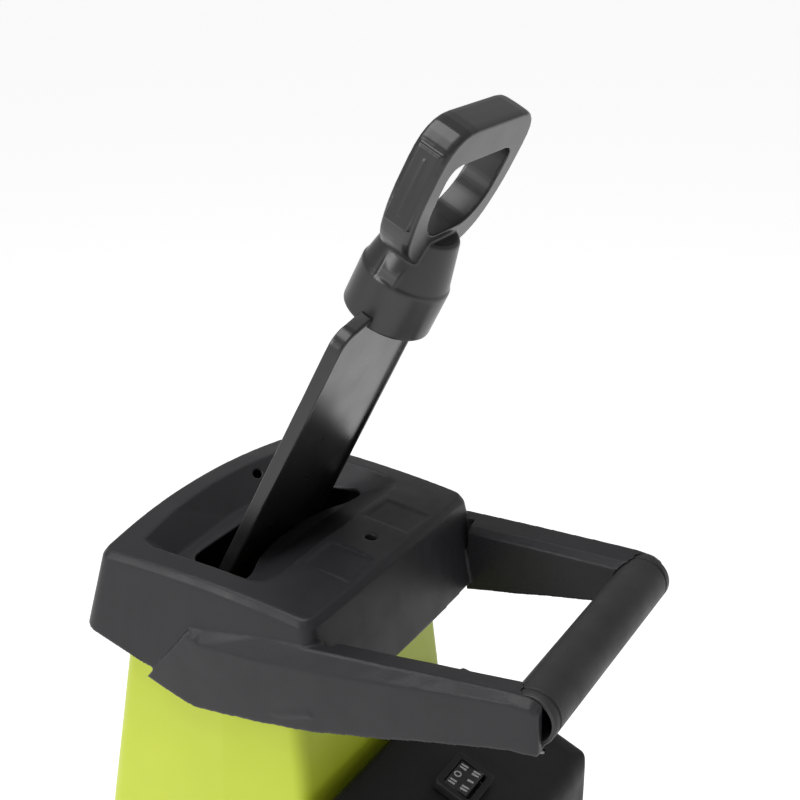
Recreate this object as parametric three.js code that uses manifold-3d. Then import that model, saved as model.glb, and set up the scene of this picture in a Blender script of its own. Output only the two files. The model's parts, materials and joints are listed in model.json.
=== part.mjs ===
// Electric garden wood chipper with a knife disc, built as separate parts.
// Millimetres, +Z up. The machine is symmetric about X = 0 apart from the small fittings.
// -Y is the front (discharge side), +Y is the rear (motor, wheels, transport handle).
import * as THREE from 'three';
import { mergeVertices } from 'three/addons/utils/BufferGeometryUtils.js';
import { ConvexGeometry } from 'three/addons/geometries/ConvexGeometry.js';
import Module from 'manifold-3d';

const wasm = await Module();
wasm.setup();

// ---------------------------------------------------------------- driving dimensions
const SHIFT_Y = 55.5;          // puts the origin under the middle of the footprint
const GAP = 0.3;               // running gap between touching parts
const RIM_Z = 1045;            // rear edge of the hopper rim above the ground
const RIM_HALF_W = 117.5;      // half width of the rim at its rear corners
const RIM_FRONT_HALF_W = 120;  // half width of the rim at its front corners
const RIM_DEPTH = 181.5;       // rear edge to front corners
const RIM_BOW = 6.5;           // how far the front edge bows out in the middle
const RIM_RISE = 11.8;         // front corners above the rear edge
const BAR_R = 19;              // transport bar radius
const BAR_Y = 160.4, BAR_Z = RIM_Z - 27;
const TOWER_TOP_Z = 968;
const DECK_Z = 560;            // top of the base, where the tower stands
const BASE_Z = 430;            // underside of the base
const WALL = 3.2;
const DISC_Y = -118;           // cutter spindle
const MOTOR_Y = 56;            // motor shaft
const DISC_R = 90;
const BELT_Z0 = 456, BELT_Z1 = 472;
const PULLEY_BIG_R = 40, PULLEY_SMALL_R = 11;
const HINGE_Y = -248, HINGE_Z = 564;
const KNOB_Y = -70, KNOB_Z = 576;
const AXLE_Y = 130, AXLE_Z = 75, WHEEL_R = 75, WHEEL_X = 188, WHEEL_W = 38;
const FOOT_Y = -300, FOOT_Z = 20;
const TUBE_R = 12.5, TUBE_RI = 11;
const PANEL_Y0 = 1, PANEL_Z0 = RIM_Z - 163, PANEL_Y1 = 104, PANEL_Z1 = RIM_Z - 207;
const PLUNGE_O = new THREE.Vector3(0, -106.6, RIM_Z - 5.6); // plunger axis at the slot
const PLUNGE_TILT = 0.4742;    // lean towards the transport bar, radians
const ROCKER_TILT = 0.14;      // rocker resting on its off side, radians
const COLLAR_AT = 227, COLLAR_R = 34, COLLAR_H = 38;

// ---------------------------------------------------------------- helpers
const V2 = (x, y) => new THREE.Vector2(x, y);
const V3 = (x, y, z) => new THREE.Vector3(x, y, z);

function clean(geom) {
  const g = geom.clone();
  for (const name of Object.keys(g.attributes)) if (name !== 'position') g.deleteAttribute(name);
  return outward(mergeVertices(g, 1e-3));
}
// reverses the faces of a closed mesh that was built inside out
function outward(g) {
  const p = g.attributes.position, ix = g.index;
  let v = 0;
  const a = new THREE.Vector3(), b = new THREE.Vector3(), c = new THREE.Vector3();
  for (let i = 0; i < ix.count; i += 3) {
    a.fromBufferAttribute(p, ix.getX(i)); b.fromBufferAttribute(p, ix.getX(i + 1)); c.fromBufferAttribute(p, ix.getX(i + 2));
    v += a.dot(b.cross(c));
  }
  if (v < 0) for (let i = 0; i < ix.count; i += 3) { const t = ix.getX(i + 1); ix.setX(i + 1, ix.getX(i + 2)); ix.setX(i + 2, t); }
  return g;
}
function solid(geom) {
  const g = clean(geom);
  return new wasm.Manifold(new wasm.Mesh({
    numProp: 3,
    vertProperties: new Float32Array(g.attributes.position.array),
    triVerts: new Uint32Array(g.index.array),
  }));
}
function geometry(man) {
  const m = man.getMesh();
  const g = new THREE.BufferGeometry();
  g.setAttribute('position', new THREE.BufferAttribute(new Float32Array(m.vertProperties), 3));
  g.setIndex(new THREE.BufferAttribute(new Uint32Array(m.triVerts), 1));
  const flat = g.toNonIndexed();
  flat.computeVertexNormals();
  return flat;
}
function at(geom, x, y, z) { return geom.clone().translate(x, y, z); }
function flipX(geom) {
  const g = clean(geom).toNonIndexed();
  const p = g.attributes.position;
  for (let i = 0; i < p.count; i += 3) {
    const a = [p.getX(i), p.getY(i), p.getZ(i)], b = [p.getX(i + 1), p.getY(i + 1), p.getZ(i + 1)], c = [p.getX(i + 2), p.getY(i + 2), p.getZ(i + 2)];
    p.setXYZ(i, -a[0], a[1], a[2]); p.setXYZ(i + 1, -c[0], c[1], c[2]); p.setXYZ(i + 2, -b[0], b[1], b[2]);
  }
  g.computeVertexNormals();
  return g;
}
function cut(base, ...tools) { let m = solid(base); for (const t of tools) m = m.subtract(solid(t)); return geometry(m); }
function join(...parts) { let m = solid(parts[0]); for (const t of parts.slice(1)) m = m.add(solid(t)); return geometry(m); }
function box(x0, x1, y0, y1, z0, z1) {
  return new THREE.BoxGeometry(x1 - x0, y1 - y0, z1 - z0).translate((x0 + x1) / 2, (y0 + y1) / 2, (z0 + z1) / 2);
}
// upright cylinder from z0 to z1
function cyl(r, z0, z1, x = 0, y = 0, seg = 20, r1 = r) {
  return new THREE.CylinderGeometry(r1, r, z1 - z0, seg).rotateX(Math.PI / 2).translate(x, y, (z0 + z1) / 2);
}
// cylinder along X from x0 to x1
function cylX(r, x0, x1, y = 0, z = 0, seg = 20) {
  return new THREE.CylinderGeometry(r, r, x1 - x0, seg).rotateZ(-Math.PI / 2).translate((x0 + x1) / 2, y, z);
}
function ring(ro, ri, seg) {
  const s = new THREE.Shape(Array.from({ length: seg }, (_, i) => V2(ro * Math.cos(i / seg * 2 * Math.PI), ro * Math.sin(i / seg * 2 * Math.PI))));
  if (ri > 0) s.holes.push(new THREE.Path(Array.from({ length: seg }, (_, i) => V2(ri * Math.cos(-i / seg * 2 * Math.PI), ri * Math.sin(-i / seg * 2 * Math.PI)))));
  return s;
}
function ringZ(ro, ri, z0, z1, x = 0, y = 0, seg = 20) {
  return new THREE.ExtrudeGeometry(ring(ro, ri, seg), { depth: z1 - z0, bevelEnabled: false, steps: 1 }).translate(x, y, z0);
}
function between(a, b, shape) {
  const d = b.clone().sub(a);
  const g = new THREE.ExtrudeGeometry(shape, { depth: d.length(), bevelEnabled: false, steps: 1 });
  g.applyQuaternion(new THREE.Quaternion().setFromUnitVectors(V3(0, 0, 1), d.clone().normalize()));
  return g.translate(a.x, a.y, a.z);
}
function roundRect(x0, x1, y0, y1, r, n = 3) {
  const pts = [];
  const arc = (cx, cy, a0) => { for (let i = 0; i <= n; i++) { const a = a0 + i / n * Math.PI / 2; pts.push(V2(cx + r * Math.cos(a), cy + r * Math.sin(a))); } };
  arc(x1 - r, y1 - r, 0); arc(x0 + r, y1 - r, Math.PI / 2); arc(x0 + r, y0 + r, Math.PI); arc(x1 - r, y0 + r, 1.5 * Math.PI);
  return pts;
}
// a tube of changing outline: levels = [{z, pts: Vector2[]}], all with the same number of points.
// The outline of the first level is extruded in steps and each ring is then moved to its own outline.
function loft(levels) {
  const ref = levels[0].pts;
  const g = new THREE.ExtrudeGeometry(new THREE.Shape(ref), { depth: levels.length - 1, steps: levels.length - 1, bevelEnabled: false });
  const p = g.attributes.position;
  for (let i = 0; i < p.count; i++) {
    const x = p.getX(i), y = p.getY(i), l = Math.round(p.getZ(i));
    let best = 0, bd = 1e9;
    for (let k = 0; k < ref.length; k++) { const d = (ref[k].x - x) ** 2 + (ref[k].y - y) ** 2; if (d < bd) { bd = d; best = k; } }
    const q = levels[l].pts[best];
    p.setXYZ(i, q.x, q.y, q.z === undefined ? levels[l].z : q.z);
  }
  g.computeVertexNormals();
  return g;
}
function hull(points) { return new ConvexGeometry(points.map((p) => V3(...p))); }
// outline in the YZ plane, extruded along X from x0 to x1
function slabX(pts, x0, x1) {
  const g = new THREE.ExtrudeGeometry(new THREE.Shape(pts.map((p) => V2(p[0], p[1]))), { depth: x1 - x0, bevelEnabled: false, steps: 1 });
  // shape x -> Y, shape y -> Z, extrusion -> X
  g.applyMatrix4(new THREE.Matrix4().set(0, 0, 1, x0, 1, 0, 0, 0, 0, 1, 0, 0, 0, 0, 0, 1));
  return g;
}
function tubeAlong(points, ro, ri, bendR, seg, steps) {
  const path = new THREE.CurvePath();
  let prev = points[0];
  for (let i = 1; i < points.length - 1; i++) {
    const p = points[i];
    const a = p.clone().add(points[i - 1].clone().sub(p).normalize().multiplyScalar(bendR));
    const b = p.clone().add(points[i + 1].clone().sub(p).normalize().multiplyScalar(bendR));
    path.add(new THREE.LineCurve3(prev, a));
    path.add(new THREE.QuadraticBezierCurve3(a, p, b));
    prev = b;
  }
  path.add(new THREE.LineCurve3(prev, points[points.length - 1]));
  return new THREE.ExtrudeGeometry(ring(ro, ri, seg), { steps, extrudePath: path, bevelEnabled: false });
}

// ---------------------------------------------------------------- materials
const mat = (color, roughness, metalness = 0) => new THREE.MeshStandardMaterial({ color, roughness, metalness });
const M = {
  charcoal: mat(0x3c3a3d, 0.62), black: mat(0x232325, 0.6), green: mat(0xbecd3e, 0.45), gloss: mat(0x1d1d1f, 0.35),
  tube: mat(0x2a2a2c, 0.45, 0.3), steel: mat(0x9a9c9e, 0.35, 0.9), blade: mat(0xb8babd, 0.25, 0.95), rubber: mat(0x1a1a1a, 0.9),
  copper: mat(0xa85a2a, 0.4, 0.8), zinc: mat(0xb4b6b8, 0.4, 0.9), red: mat(0xb3211c, 0.45), grey: mat(0x77787a, 0.6), lam: mat(0x6d7074, 0.5, 0.7),
};
const group = new THREE.Group();
const frameGroup = new THREE.Group();
frameGroup.position.set(0, SHIFT_Y, 0);
group.add(frameGroup);
function add(name, geom, material, parent = frameGroup) {
  geom = clean(geom).toNonIndexed();
  geom.computeVertexNormals();
  const m = new THREE.Mesh(geom, material);
  m.name = name;
  parent.add(m);
  return m;
}

// ================================================================ stand
const legTopF = V3(95, -190, 474), legFootF = V3(165, FOOT_Y, FOOT_Z);
const frontPath = [V3(-95, -190, 474), V3(-165, FOOT_Y, FOOT_Z), V3(165, FOOT_Y, FOOT_Z), V3(95, -190, 474)];
add('stand_front_frame', tubeAlong(frontPath, TUBE_R, TUBE_RI, 52, 10, 26), M.tube);
const legTopR = V3(95, 84, 474), legBotR = V3(151, 132.5, 56);
function rearLeg() {
  const g = between(legBotR, legTopR, ring(TUBE_R, TUBE_RI, 12));
  return cut(g, cylX(5.35, 120, 180, AXLE_Y, AXLE_Z, 16));
}
add('stand_leg_right', rearLeg(), M.tube);
add('stand_leg_left', flipX(rearLeg()), M.tube);
const onLine = (a, b, z) => a.clone().lerp(b, (z - a.z) / (b.z - a.z));
const braceC = onLine(legTopR, legBotR, 250);
{
  const bar = new THREE.ExtrudeGeometry(ring(9.5, 8, 14), { depth: 2 * braceC.x, bevelEnabled: false }).rotateY(Math.PI / 2).translate(-braceC.x, braceC.y, 250);
  const clear = between(legBotR, legTopR, ring(TUBE_R + GAP, 0, 12));
  add('cross_brace', cut(bar, clear, flipX(clear)), M.tube);
}
{
  const a = onLine(legTopF, legFootF, 128), b = onLine(legTopR, legBotR, 128);
  const bar = between(a, b, ring(8, 6.6, 12));
  const c1 = between(legTopF, legFootF, ring(TUBE_R + 1, 0, 12));
  const c2 = between(legBotR, legTopR, ring(TUBE_R + GAP, 0, 12));
  const g = cut(bar, c1, c2);
  add('side_brace_right', g, M.tube);
  add('side_brace_left', flipX(g), M.tube);
}
function footPad() {
  const pts = [[-16, 0], [16, 0], [14.5, 24], [8.6, 32], [-8.6, 32], [-14.5, 24]];
  const g = slabX(pts.map(([y, z]) => [y + FOOT_Y, z]), 50, 90);
  return cut(g, cylX(TUBE_R + 0.5, 40, 108, FOOT_Y, FOOT_Z, 20), box(40, 108, FOOT_Y - 20, FOOT_Y + 20, FOOT_Z + 3, 40));
}
add('foot_pad_right', footPad(), M.rubber);
add('foot_pad_left', flipX(footPad()), M.rubber);
add('axle', cylX(5, -206, 206, AXLE_Y, AXLE_Z, 20), M.zinc);
// wheels, each turning on the axle
function lathe(pts, seg) {
  const g = new THREE.LatheGeometry(pts.map((p) => V2(p[0], p[1])), seg);
  return g;
}
function wheelHub() {
  // profile around the wheel axis, from the inside face to the outside face
  const h = WHEEL_W / 2;
  const prof = [[5.3, -h + 1], [15, -h + 1], [16, -4], [50, -3], [53, -h + 4], [57.6, -h + 4], [57.6, h - 4], [53, h - 4], [50, 3], [16, 4], [15, h], [5.3, h], [5.3, -h + 1]];
  let g = lathe(prof, 24);
  const holes = [];
  for (let i = 0; i < 5; i++) {
    const a = (i + 0.5) / 5 * 2 * Math.PI;
    holes.push(new THREE.CylinderGeometry(10, 10, 14, 8).translate(33 * Math.cos(a), 0, 33 * Math.sin(a)));
  }
  return cut(g, ...holes);
}
function wheelTyre() {
  const h = WHEEL_W / 2;
  return lathe([[57.9, -h + 3], [62, -h], [70, -h + 2], [WHEEL_R, -9], [WHEEL_R, 9], [70, h - 2], [62, h], [57.9, h - 3], [57.9, -h + 3]], 32);
}
for (const [side, s] of [['right', 1], ['left', -1]]) {
  const wheel = new THREE.Group();
  wheel.position.set(s * WHEEL_X, AXLE_Y, AXLE_Z);
  wheel.rotation.set(0, 0, -s * Math.PI / 2);
  frameGroup.add(wheel);
  add('wheel_hub_' + side, wheelHub(), M.black, wheel);
  add('tyre_' + side, wheelTyre(), M.rubber, wheel);
  const g = join(cylX(11, 207.4, 209.5, AXLE_Y, AXLE_Z, 16), cylX(8.5, 209, 213, AXLE_Y, AXLE_Z, 16));
  add('axle_cap_' + side, s > 0 ? g : flipX(g), M.black);
}

// ================================================================ base
{
  const out = (d, z) => ({ z, pts: roundRect(-125 + d, 125 - d, -238 + d, 121 - d, 26 - Math.min(d, 20)) });
  let body = solid(loft([out(13, BASE_Z), out(4, BASE_Z + 50), out(0, DECK_Z - 20), out(0, DECK_Z)]));
  const inn = (d, z) => ({ z, pts: roundRect(-125 + d, 125 - d, -238 + d, 121 - d, 22 - Math.min(d, 18)) });
  body = body.subtract(solid(loft([inn(17, BASE_Z - 1), inn(8, BASE_Z + 50), inn(4, DECK_Z - 20), inn(4, DECK_Z - 5)])));
  // cutting chamber and motor well hang from the deck
  body = body.add(solid(cyl(104, 488, DECK_Z - 2, 0, DISC_Y, 32)));
  body = body.add(solid(box(-58, 58, -6, 112, 492, DECK_Z - 2)));
  // leg sockets
  const sock = [];
  for (const s of [1, -1]) {
    const dirF = legTopF.clone().sub(legFootF).normalize(), dirR = legTopR.clone().sub(legBotR).normalize();
    const f1 = legTopF.clone().add(dirF.clone().multiplyScalar(16)), f0 = legTopF.clone().sub(dirF.clone().multiplyScalar(44));
    const r1 = legTopR.clone().add(dirR.clone().multiplyScalar(16)), r0 = legTopR.clone().sub(dirR.clone().multiplyScalar(44));
    for (const [a, b, top, dir] of [[f0, f1, legTopF, dirF], [r0, r1, legTopR, dirR]]) {
      const m = (v) => V3(v.x * s, v.y, v.z);
      sock.push([between(m(a), m(b.clone().add(dir.clone().multiplyScalar(70))), ring(17, 0, 12)), between(m(a.clone().sub(dir.clone().multiplyScalar(30))), m(top.clone().add(dir.clone().multiplyScalar(0.5))), ring(TUBE_R + 0.9, 0, 12))]);
    }
  }
  const keep = solid(box(-200, 200, -300, 200, BASE_Z, DECK_Z - 1));
  const inside = solid(loft([out(13, BASE_Z), out(4, BASE_Z + 50), out(0, DECK_Z - 20), out(0, DECK_Z)]));
  for (const [s1] of sock) body = body.add(solid(s1).intersect(keep).intersect(inside));
  for (const [, s2] of sock) body = body.subtract(solid(s2));
  // chamber, motor well, windows and bores
  body = body.subtract(solid(cyl(98, 508, DECK_Z + 1, 0, DISC_Y, 32)));
  body = body.subtract(solid(box(-54, 54, -2, 108, 502, DECK_Z + 1)));
  body = body.subtract(solid(box(-55, 55, -260, -190, 511, 547)));
  body = body.subtract(solid(cyl(16.3, 480, 515, 0, DISC_Y, 32)));
  body = body.subtract(solid(cyl(13, 480, 510, 0, MOTOR_Y, 18)));
  body = body.subtract(solid(cyl(2.8, 550, 565, 94, -10.2, 12)));
  // hinge lugs at the front, clamp lug at the right
  for (const s of [1, -1]) {
    const lug = slabX([[-236, 534], [-240, 534], [-257, 556], [-257, 568], [-251, 572.5], [-245, 572.5], [-243, 566], [-243, 559.7], [-236, 559.7]], 70, 82);
    const l2 = s > 0 ? lug : flipX(lug);
    body = body.add(solid(l2)).subtract(solid(cylX(4 + GAP, s > 0 ? 60 : -90, s > 0 ? 90 : -60, HINGE_Y, HINGE_Z, 20)));
  }
  body = body.add(solid(slabX([[KNOB_Y - 22, 520], [KNOB_Y + 22, 520], [KNOB_Y + 16, 590], [KNOB_Y - 16, 590]], 122, 131.5)));
  body = body.subtract(solid(box(118, 140, KNOB_Y - 30, KNOB_Y + 30, DECK_Z, 600)).intersect(solid(box(100, 126.9, -200, 0, 500, 640))));
  body = body.subtract(solid(slabX([[KNOB_Y - 5, KNOB_Z - 5], [KNOB_Y + 5, KNOB_Z - 5], [KNOB_Y + 6, 600], [KNOB_Y - 8, 600]], 110, 140)));
  add('base_housing', geometry(body), M.black);
}
{
  const pts = roundRect(-111, 111, -224, 107, 22);
  const plate = new THREE.ExtrudeGeometry(new THREE.Shape(pts), { depth: 4, bevelEnabled: false }).translate(0, 0, BASE_Z - 4 - GAP);
  const holes = [];
  for (const s of [1, -1]) for (const [t, f] of [[legTopF, legFootF], [legTopR, legBotR]]) {
    const p = onLine(t, f, BASE_Z - 2);
    holes.push(cyl(17, BASE_Z - 10, BASE_Z + 5, s * p.x, p.y, 24));
  }
  add('base_cover', cut(plate, ...holes), M.black);
}
{
  const outer = slabX([[-238.6, 551], [-256, 551], [-276, 530], [-288, 490], [-290, 420], [-252, 420], [-250, 480], [-244, 500], [-238.6, 505]], -62, 62);
  const inner = slabX([[-230, 548], [-255, 548], [-273, 529], [-284.8, 490], [-287, 410], [-255, 410], [-253, 481], [-246, 502], [-230, 508]], -59, 59);
  add('discharge_chute', cut(outer, inner), M.black);
}
for (const [side, s] of [['right', 1], ['left', -1]]) {
  const g = cylX(4, 57, 84, HINGE_Y, HINGE_Z, 20);
  add('hinge_pin_' + side, s > 0 ? g : flipX(g), M.zinc);
}

// ================================================================ cutter
const bearing = (ro, ri, z0, z1, y) => ringZ(ro, ri, z0, z1, 0, y, 16);
add('spindle_bearing_upper', bearing(16, 6.3, 498.6, 507, DISC_Y), M.steel);
add('spindle_bearing_lower', bearing(16, 6.3, 489, 498.2, DISC_Y), M.steel);
add('spindle', join(cyl(6, 446, 544, 0, DISC_Y, 24), cyl(9, 508.2, 515.7, 0, DISC_Y, 24)), M.steel);
{
  let disc = solid(cyl(DISC_R, 516, 524, 0, DISC_Y, 32)).subtract(solid(cyl(6.3, 500, 530, 0, DISC_Y, 24)));
  for (const s of [1, -1]) {
    disc = disc.subtract(solid(box(s > 0 ? 24 : -80, s > 0 ? 80 : -24, DISC_Y + s * 16 - 5, DISC_Y + s * 16 + 5, 500, 530)));
    disc = disc.add(solid(box(s > 0 ? 30 : -86, s > 0 ? 86 : -30, DISC_Y - s * 20 - 2, DISC_Y - s * 20 + 2, 510.5, 517)));
    for (const dx of [38, 66]) disc = disc.subtract(solid(cyl(3.4, 500, 530, s * dx, DISC_Y, 12)));
  }
  add('cutting_disc', geometry(disc), M.steel);
}
for (const [i, s] of [[1, 1], [2, -1]]) {
  const prof = slabX([[-12, 524.3], [9, 524.3], [13.5, 529], [-12, 529]], 24, 80);
  const g = cut(at(prof, 0, 0, 0), cyl(3.4, 510, 540, 38, 0, 16), cyl(3.4, 510, 540, 66, 0, 16));
  const m = add('blade_' + i, g, M.blade);
  m.position.set(0, DISC_Y, 0);
  m.rotation.set(0, 0, s > 0 ? 0 : Math.PI);
  [38, 66].forEach((dx, k) => {
    const sc = join(cyl(3, 518, 529.6, 0, 0, 14), cyl(6, 529.3, 532.5, 0, 0, 14));
    const n = add('blade_screw_' + (i * 2 - 1 + k), sc, M.zinc);
    n.position.set(s * dx, DISC_Y, 0);
  });
}
add('disc_nut', cut(cyl(11, 524.3, 534, 0, DISC_Y, 6), cyl(6.3, 520, 540, 0, DISC_Y, 24)), M.zinc);
const pulley = (R, ri, z0, z1, y, seg) => {
  const g = lathe([[ri, z0], [R + 2.5, z0], [R + 2.5, z0 + 1.6], [R, z0 + 2], [R, z1 - 2], [R + 2.5, z1 - 1.6], [R + 2.5, z1], [ri, z1], [ri, z0]], seg).rotateX(Math.PI / 2);
  // the lathe turns about Y; after the quarter turn its profile runs along Z
  return g.translate(0, y, 0);
};
add('driven_pulley', pulley(PULLEY_BIG_R, 6.3, BELT_Z0 - 3, BELT_Z1 + 3, DISC_Y, 24), M.steel);

// ================================================================ motor
add('motor_stator', (() => {
  let g = solid(ringZ(46, 27.5, 566, 626, 0, MOTOR_Y, 20)).add(solid(ringZ(41, 29, 620, 638, 0, MOTOR_Y, 20)));
  for (const s of [1, -1]) g = g.subtract(solid(box(s > 0 ? 40 : -50, s > 0 ? 50 : -40, MOTOR_Y - 14, MOTOR_Y + 14, 560, 640)));
  return geometry(g);
})(), M.lam);
add('armature', join(cyl(5, 448, 690, 0, MOTOR_Y, 14), cyl(26, 568, 624, 0, MOTOR_Y, 20), cyl(22, 560, 634, 0, MOTOR_Y, 16), cyl(13, 646, 664, 0, MOTOR_Y, 14)), M.lam);
add('motor_fan', (() => {
  let g = solid(ringZ(12, 5.3, 533, 552, 0, MOTOR_Y, 20)).add(solid(ringZ(43, 10, 533, 536, 0, MOTOR_Y, 20)));
  for (let i = 0; i < 8; i++) {
    const b = new THREE.BoxGeometry(32, 2.2, 15).translate(26, 0, 543).rotateZ(i * Math.PI / 4 + 0.2).translate(0, MOTOR_Y, 0);
    g = g.add(solid(b));
  }
  return geometry(g);
})(), M.black);
add('motor_pulley', pulley(PULLEY_SMALL_R, 5.3, BELT_Z0 - 3, BELT_Z1 + 3, MOTOR_Y, 14), M.steel);
add('motor_end_lower', cut(join(ringZ(46, 13.4, 504, 509, 0, MOTOR_Y, 20), ringZ(15.5, 11.3, 504, 516, 0, MOTOR_Y, 20), ringZ(46, 43.8, 504, 565.6, 0, MOTOR_Y, 20)),
  box(-50, 50, MOTOR_Y - 12, MOTOR_Y + 12, 520, 556), box(-12, 12, MOTOR_Y - 50, MOTOR_Y + 50, 520, 556)), M.zinc);
add('motor_bearing_lower', bearing(11, 5.3, 505, 513, MOTOR_Y), M.steel);
add('motor_end_upper', cut(join(ringZ(46, 43, 626.4, 682, 0, MOTOR_Y, 20), ringZ(46, 11.3, 678, 682, 0, MOTOR_Y, 20), ringZ(15.5, 11.3, 672, 684, 0, MOTOR_Y, 20)),
  box(-50, 50, MOTOR_Y - 7.3, MOTOR_Y + 7.3, 648, 662.3), box(-12, 12, MOTOR_Y - 50, MOTOR_Y + 50, 640, 668)), M.zinc);
add('motor_bearing_upper', bearing(11, 5.3, 674, 682, MOTOR_Y), M.steel);
for (const [side, s] of [['right', 1], ['left', -1]]) {
  const g = join(box(13.4, 34, MOTOR_Y - 4, MOTOR_Y + 4, 651, 659), box(22, 50, MOTOR_Y - 7, MOTOR_Y + 7, 648.3, 662));
  add('brush_holder_' + side, s > 0 ? g : flipX(g), M.copper);
}
{
  // flat belt round both pulleys
  const R = PULLEY_BIG_R + GAP, r = PULLEY_SMALL_R + GAP, t = 2.2, D = MOTOR_Y - DISC_Y;
  const path = (a, b, n) => {
    const phi = Math.acos((a - b) / D), pts = [];
    for (let i = 0; i <= n; i++) { const w = Math.PI / 2 + (Math.PI / 2 - 0) * 0 + phi + (2 * Math.PI - 2 * phi) * i / n; pts.push(V2(a * Math.cos(w), DISC_Y + a * Math.sin(w))); }
    for (let i = 0; i <= n / 2; i++) { const w = Math.PI / 2 - phi + 2 * phi * i / (n / 2); pts.push(V2(b * Math.cos(w), MOTOR_Y + b * Math.sin(w))); }
    return pts;
  };
  const s = new THREE.Shape(path(R + t, r + t, 16));
  s.holes.push(new THREE.Path(path(R, r, 16).reverse()));
  add('drive_belt', new THREE.ExtrudeGeometry(s, { depth: BELT_Z1 - BELT_Z0 - 5, bevelEnabled: false }).translate(0, 0, BELT_Z0 + 2.5), M.rubber);
}

// ================================================================ motor housing and controls
const panelZ = (y) => PANEL_Z0 + (y - PANEL_Y0) * (PANEL_Z1 - PANEL_Z0) / (PANEL_Y1 - PANEL_Y0);
const PANEL_ANG = Math.atan2(PANEL_Z1 - PANEL_Z0, PANEL_Y1 - PANEL_Y0);
function housingShape(d) {
  // profile in YZ with a rounded rear shoulder, hulled with narrower ends for the rounded sides
  const pts = [];
  const prof = [[PANEL_Y0 - 4 + d, DECK_Z + GAP - (d > 0 ? 2 : 0)], [PANEL_Y0 - 4 + d, PANEL_Z0 - 3 - d], [PANEL_Y0 + d, PANEL_Z0 - d]];
  for (let i = 0; i <= 4; i++) {
    const a = Math.PI / 2 + PANEL_ANG - i / 4 * (Math.PI / 2 + PANEL_ANG);
    prof.push([98 + (22 - d) * Math.cos(a), panelZ(98 - 22 * Math.sin(PANEL_ANG)) - 22 * Math.cos(PANEL_ANG) + (22 - d) * Math.sin(a)]);
  }
  prof.push([120.5 - d, DECK_Z + GAP - (d > 0 ? 2 : 0)]);
  for (const [y, z] of prof) for (const s of [1, -1]) {
    pts.push([s * (106 - d), y, z]);
  }
  // sides: inset the profile by the corner radius
  const inset = (k) => prof.map(([y, z]) => [THREE.MathUtils.clamp(y, PANEL_Y0 - 4 + k + d, 120.5 - k - d), z > 700 ? Math.min(z, panelZ(THREE.MathUtils.clamp(y, PANEL_Y0, 110)) - k * 0.8 - d) : z]);
  for (const [x, k] of [[118 - d, 4], [125 - d, 13]]) for (const [y, z] of inset(k)) for (const s of [1, -1]) pts.push([s * x, y, z]);
  return hull(pts);
}
{
  let h = solid(housingShape(0)).subtract(solid(housingShape(WALL)));
  const sw = new THREE.BoxGeometry(35, 27, 30).rotateX(PANEL_ANG).translate(0, 60, panelZ(60));
  h = h.subtract(solid(sw));
  h = h.subtract(solid(new THREE.CylinderGeometry(7.3, 7.3, 30, 24).rotateX(Math.PI / 2 + PANEL_ANG).translate(62, 60, panelZ(60))));
  // cooling slots low on both sides
  for (const s of [1, -1]) for (let i = 0; i < 5; i++) h = h.subtract(solid(box(s > 0 ? 110 : -135, s > 0 ? 135 : -110, 24, 96, 600 + i * 12, 605 + i * 12)));
  // inlet opening in the rear
  h = h.subtract(solid(new THREE.CylinderGeometry(21, 21, 30, 28).translate(-72, 118, 772)));
  // screw wells on the panel
  for (const [x, y] of [[88, 88], [-88, 88]]) h = h.subtract(solid(cyl(4.2, 700, 900, x, y, 16)));
  add('motor_housing', geometry(h), M.black);
}
let si = 1;
for (const [x, y] of [[88, 88], [-88, 88]]) {
  add('housing_screw_' + si++, join(cyl(3.9, panelZ(y) - 6, panelZ(y) - 3, x, y, 14), cyl(2, panelZ(y) - 26, panelZ(y) - 5, x, y, 10)), M.zinc);
}
{
  // switch: frame on the panel, body under it, rocker in the middle
  const sg = new THREE.Group();
  sg.position.set(0, 60, panelZ(60));
  sg.rotation.set(PANEL_ANG, 0, 0);
  frameGroup.add(sg);
  const frame = cut(new THREE.BoxGeometry(43, 35, 8).translate(0, 0, 4 + GAP), new THREE.BoxGeometry(32, 24, 20).translate(0, 0, 5));
  add('switch_frame', frame, M.black, sg);
  add('switch_body', cut(new THREE.BoxGeometry(34, 26, 26).translate(0, 0, -14), new THREE.BoxGeometry(31.4, 23.4, 12).translate(0, 0, -4)), M.grey, sg);
  const r = [];
  for (let i = 0; i <= 8; i += 2) { r.push([10.2 * i / 8 * 2 - 10.2, 7 + 1.4 * Math.abs(i / 4 - 1)]); }
  add('switch_rocker', slabX([[-9.5, -4], [9.5, -4], ...r.reverse()], -15.2, 15.2), M.black, sg).rotation.set(ROCKER_TILT, 0, 0);
  const bt = new THREE.Group();
  bt.position.set(62, 60, panelZ(60));
  bt.rotation.set(PANEL_ANG, 0, 0);
  frameGroup.add(bt);
  add('reset_button', cyl(4.8, -8, 8, 0, 0, 20), M.red, bt);
}
{
  // recessed mains inlet, opening to the rear
  const g = new THREE.Group();
  g.position.set(-72, 118, 772);
  frameGroup.add(g);
  const cup = lathe([[0, -22], [20.5, -22], [20.5, 2.8], [25, 2.8], [25, 6.5], [17, 6.5], [17, -19], [0, -19]], 24);
  let c = solid(cup);
  const pins = [new THREE.BoxGeometry(1.6, 20, 6.4).translate(-6.3, -12, 3), new THREE.BoxGeometry(1.6, 20, 6.4).translate(6.3, -12, 3), new THREE.CylinderGeometry(2.4, 2.4, 20, 14).translate(0, -12, -8)];
  for (const p of pins) c = c.add(solid(p));
  add('power_inlet', geometry(c), M.grey, g);
}

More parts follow.
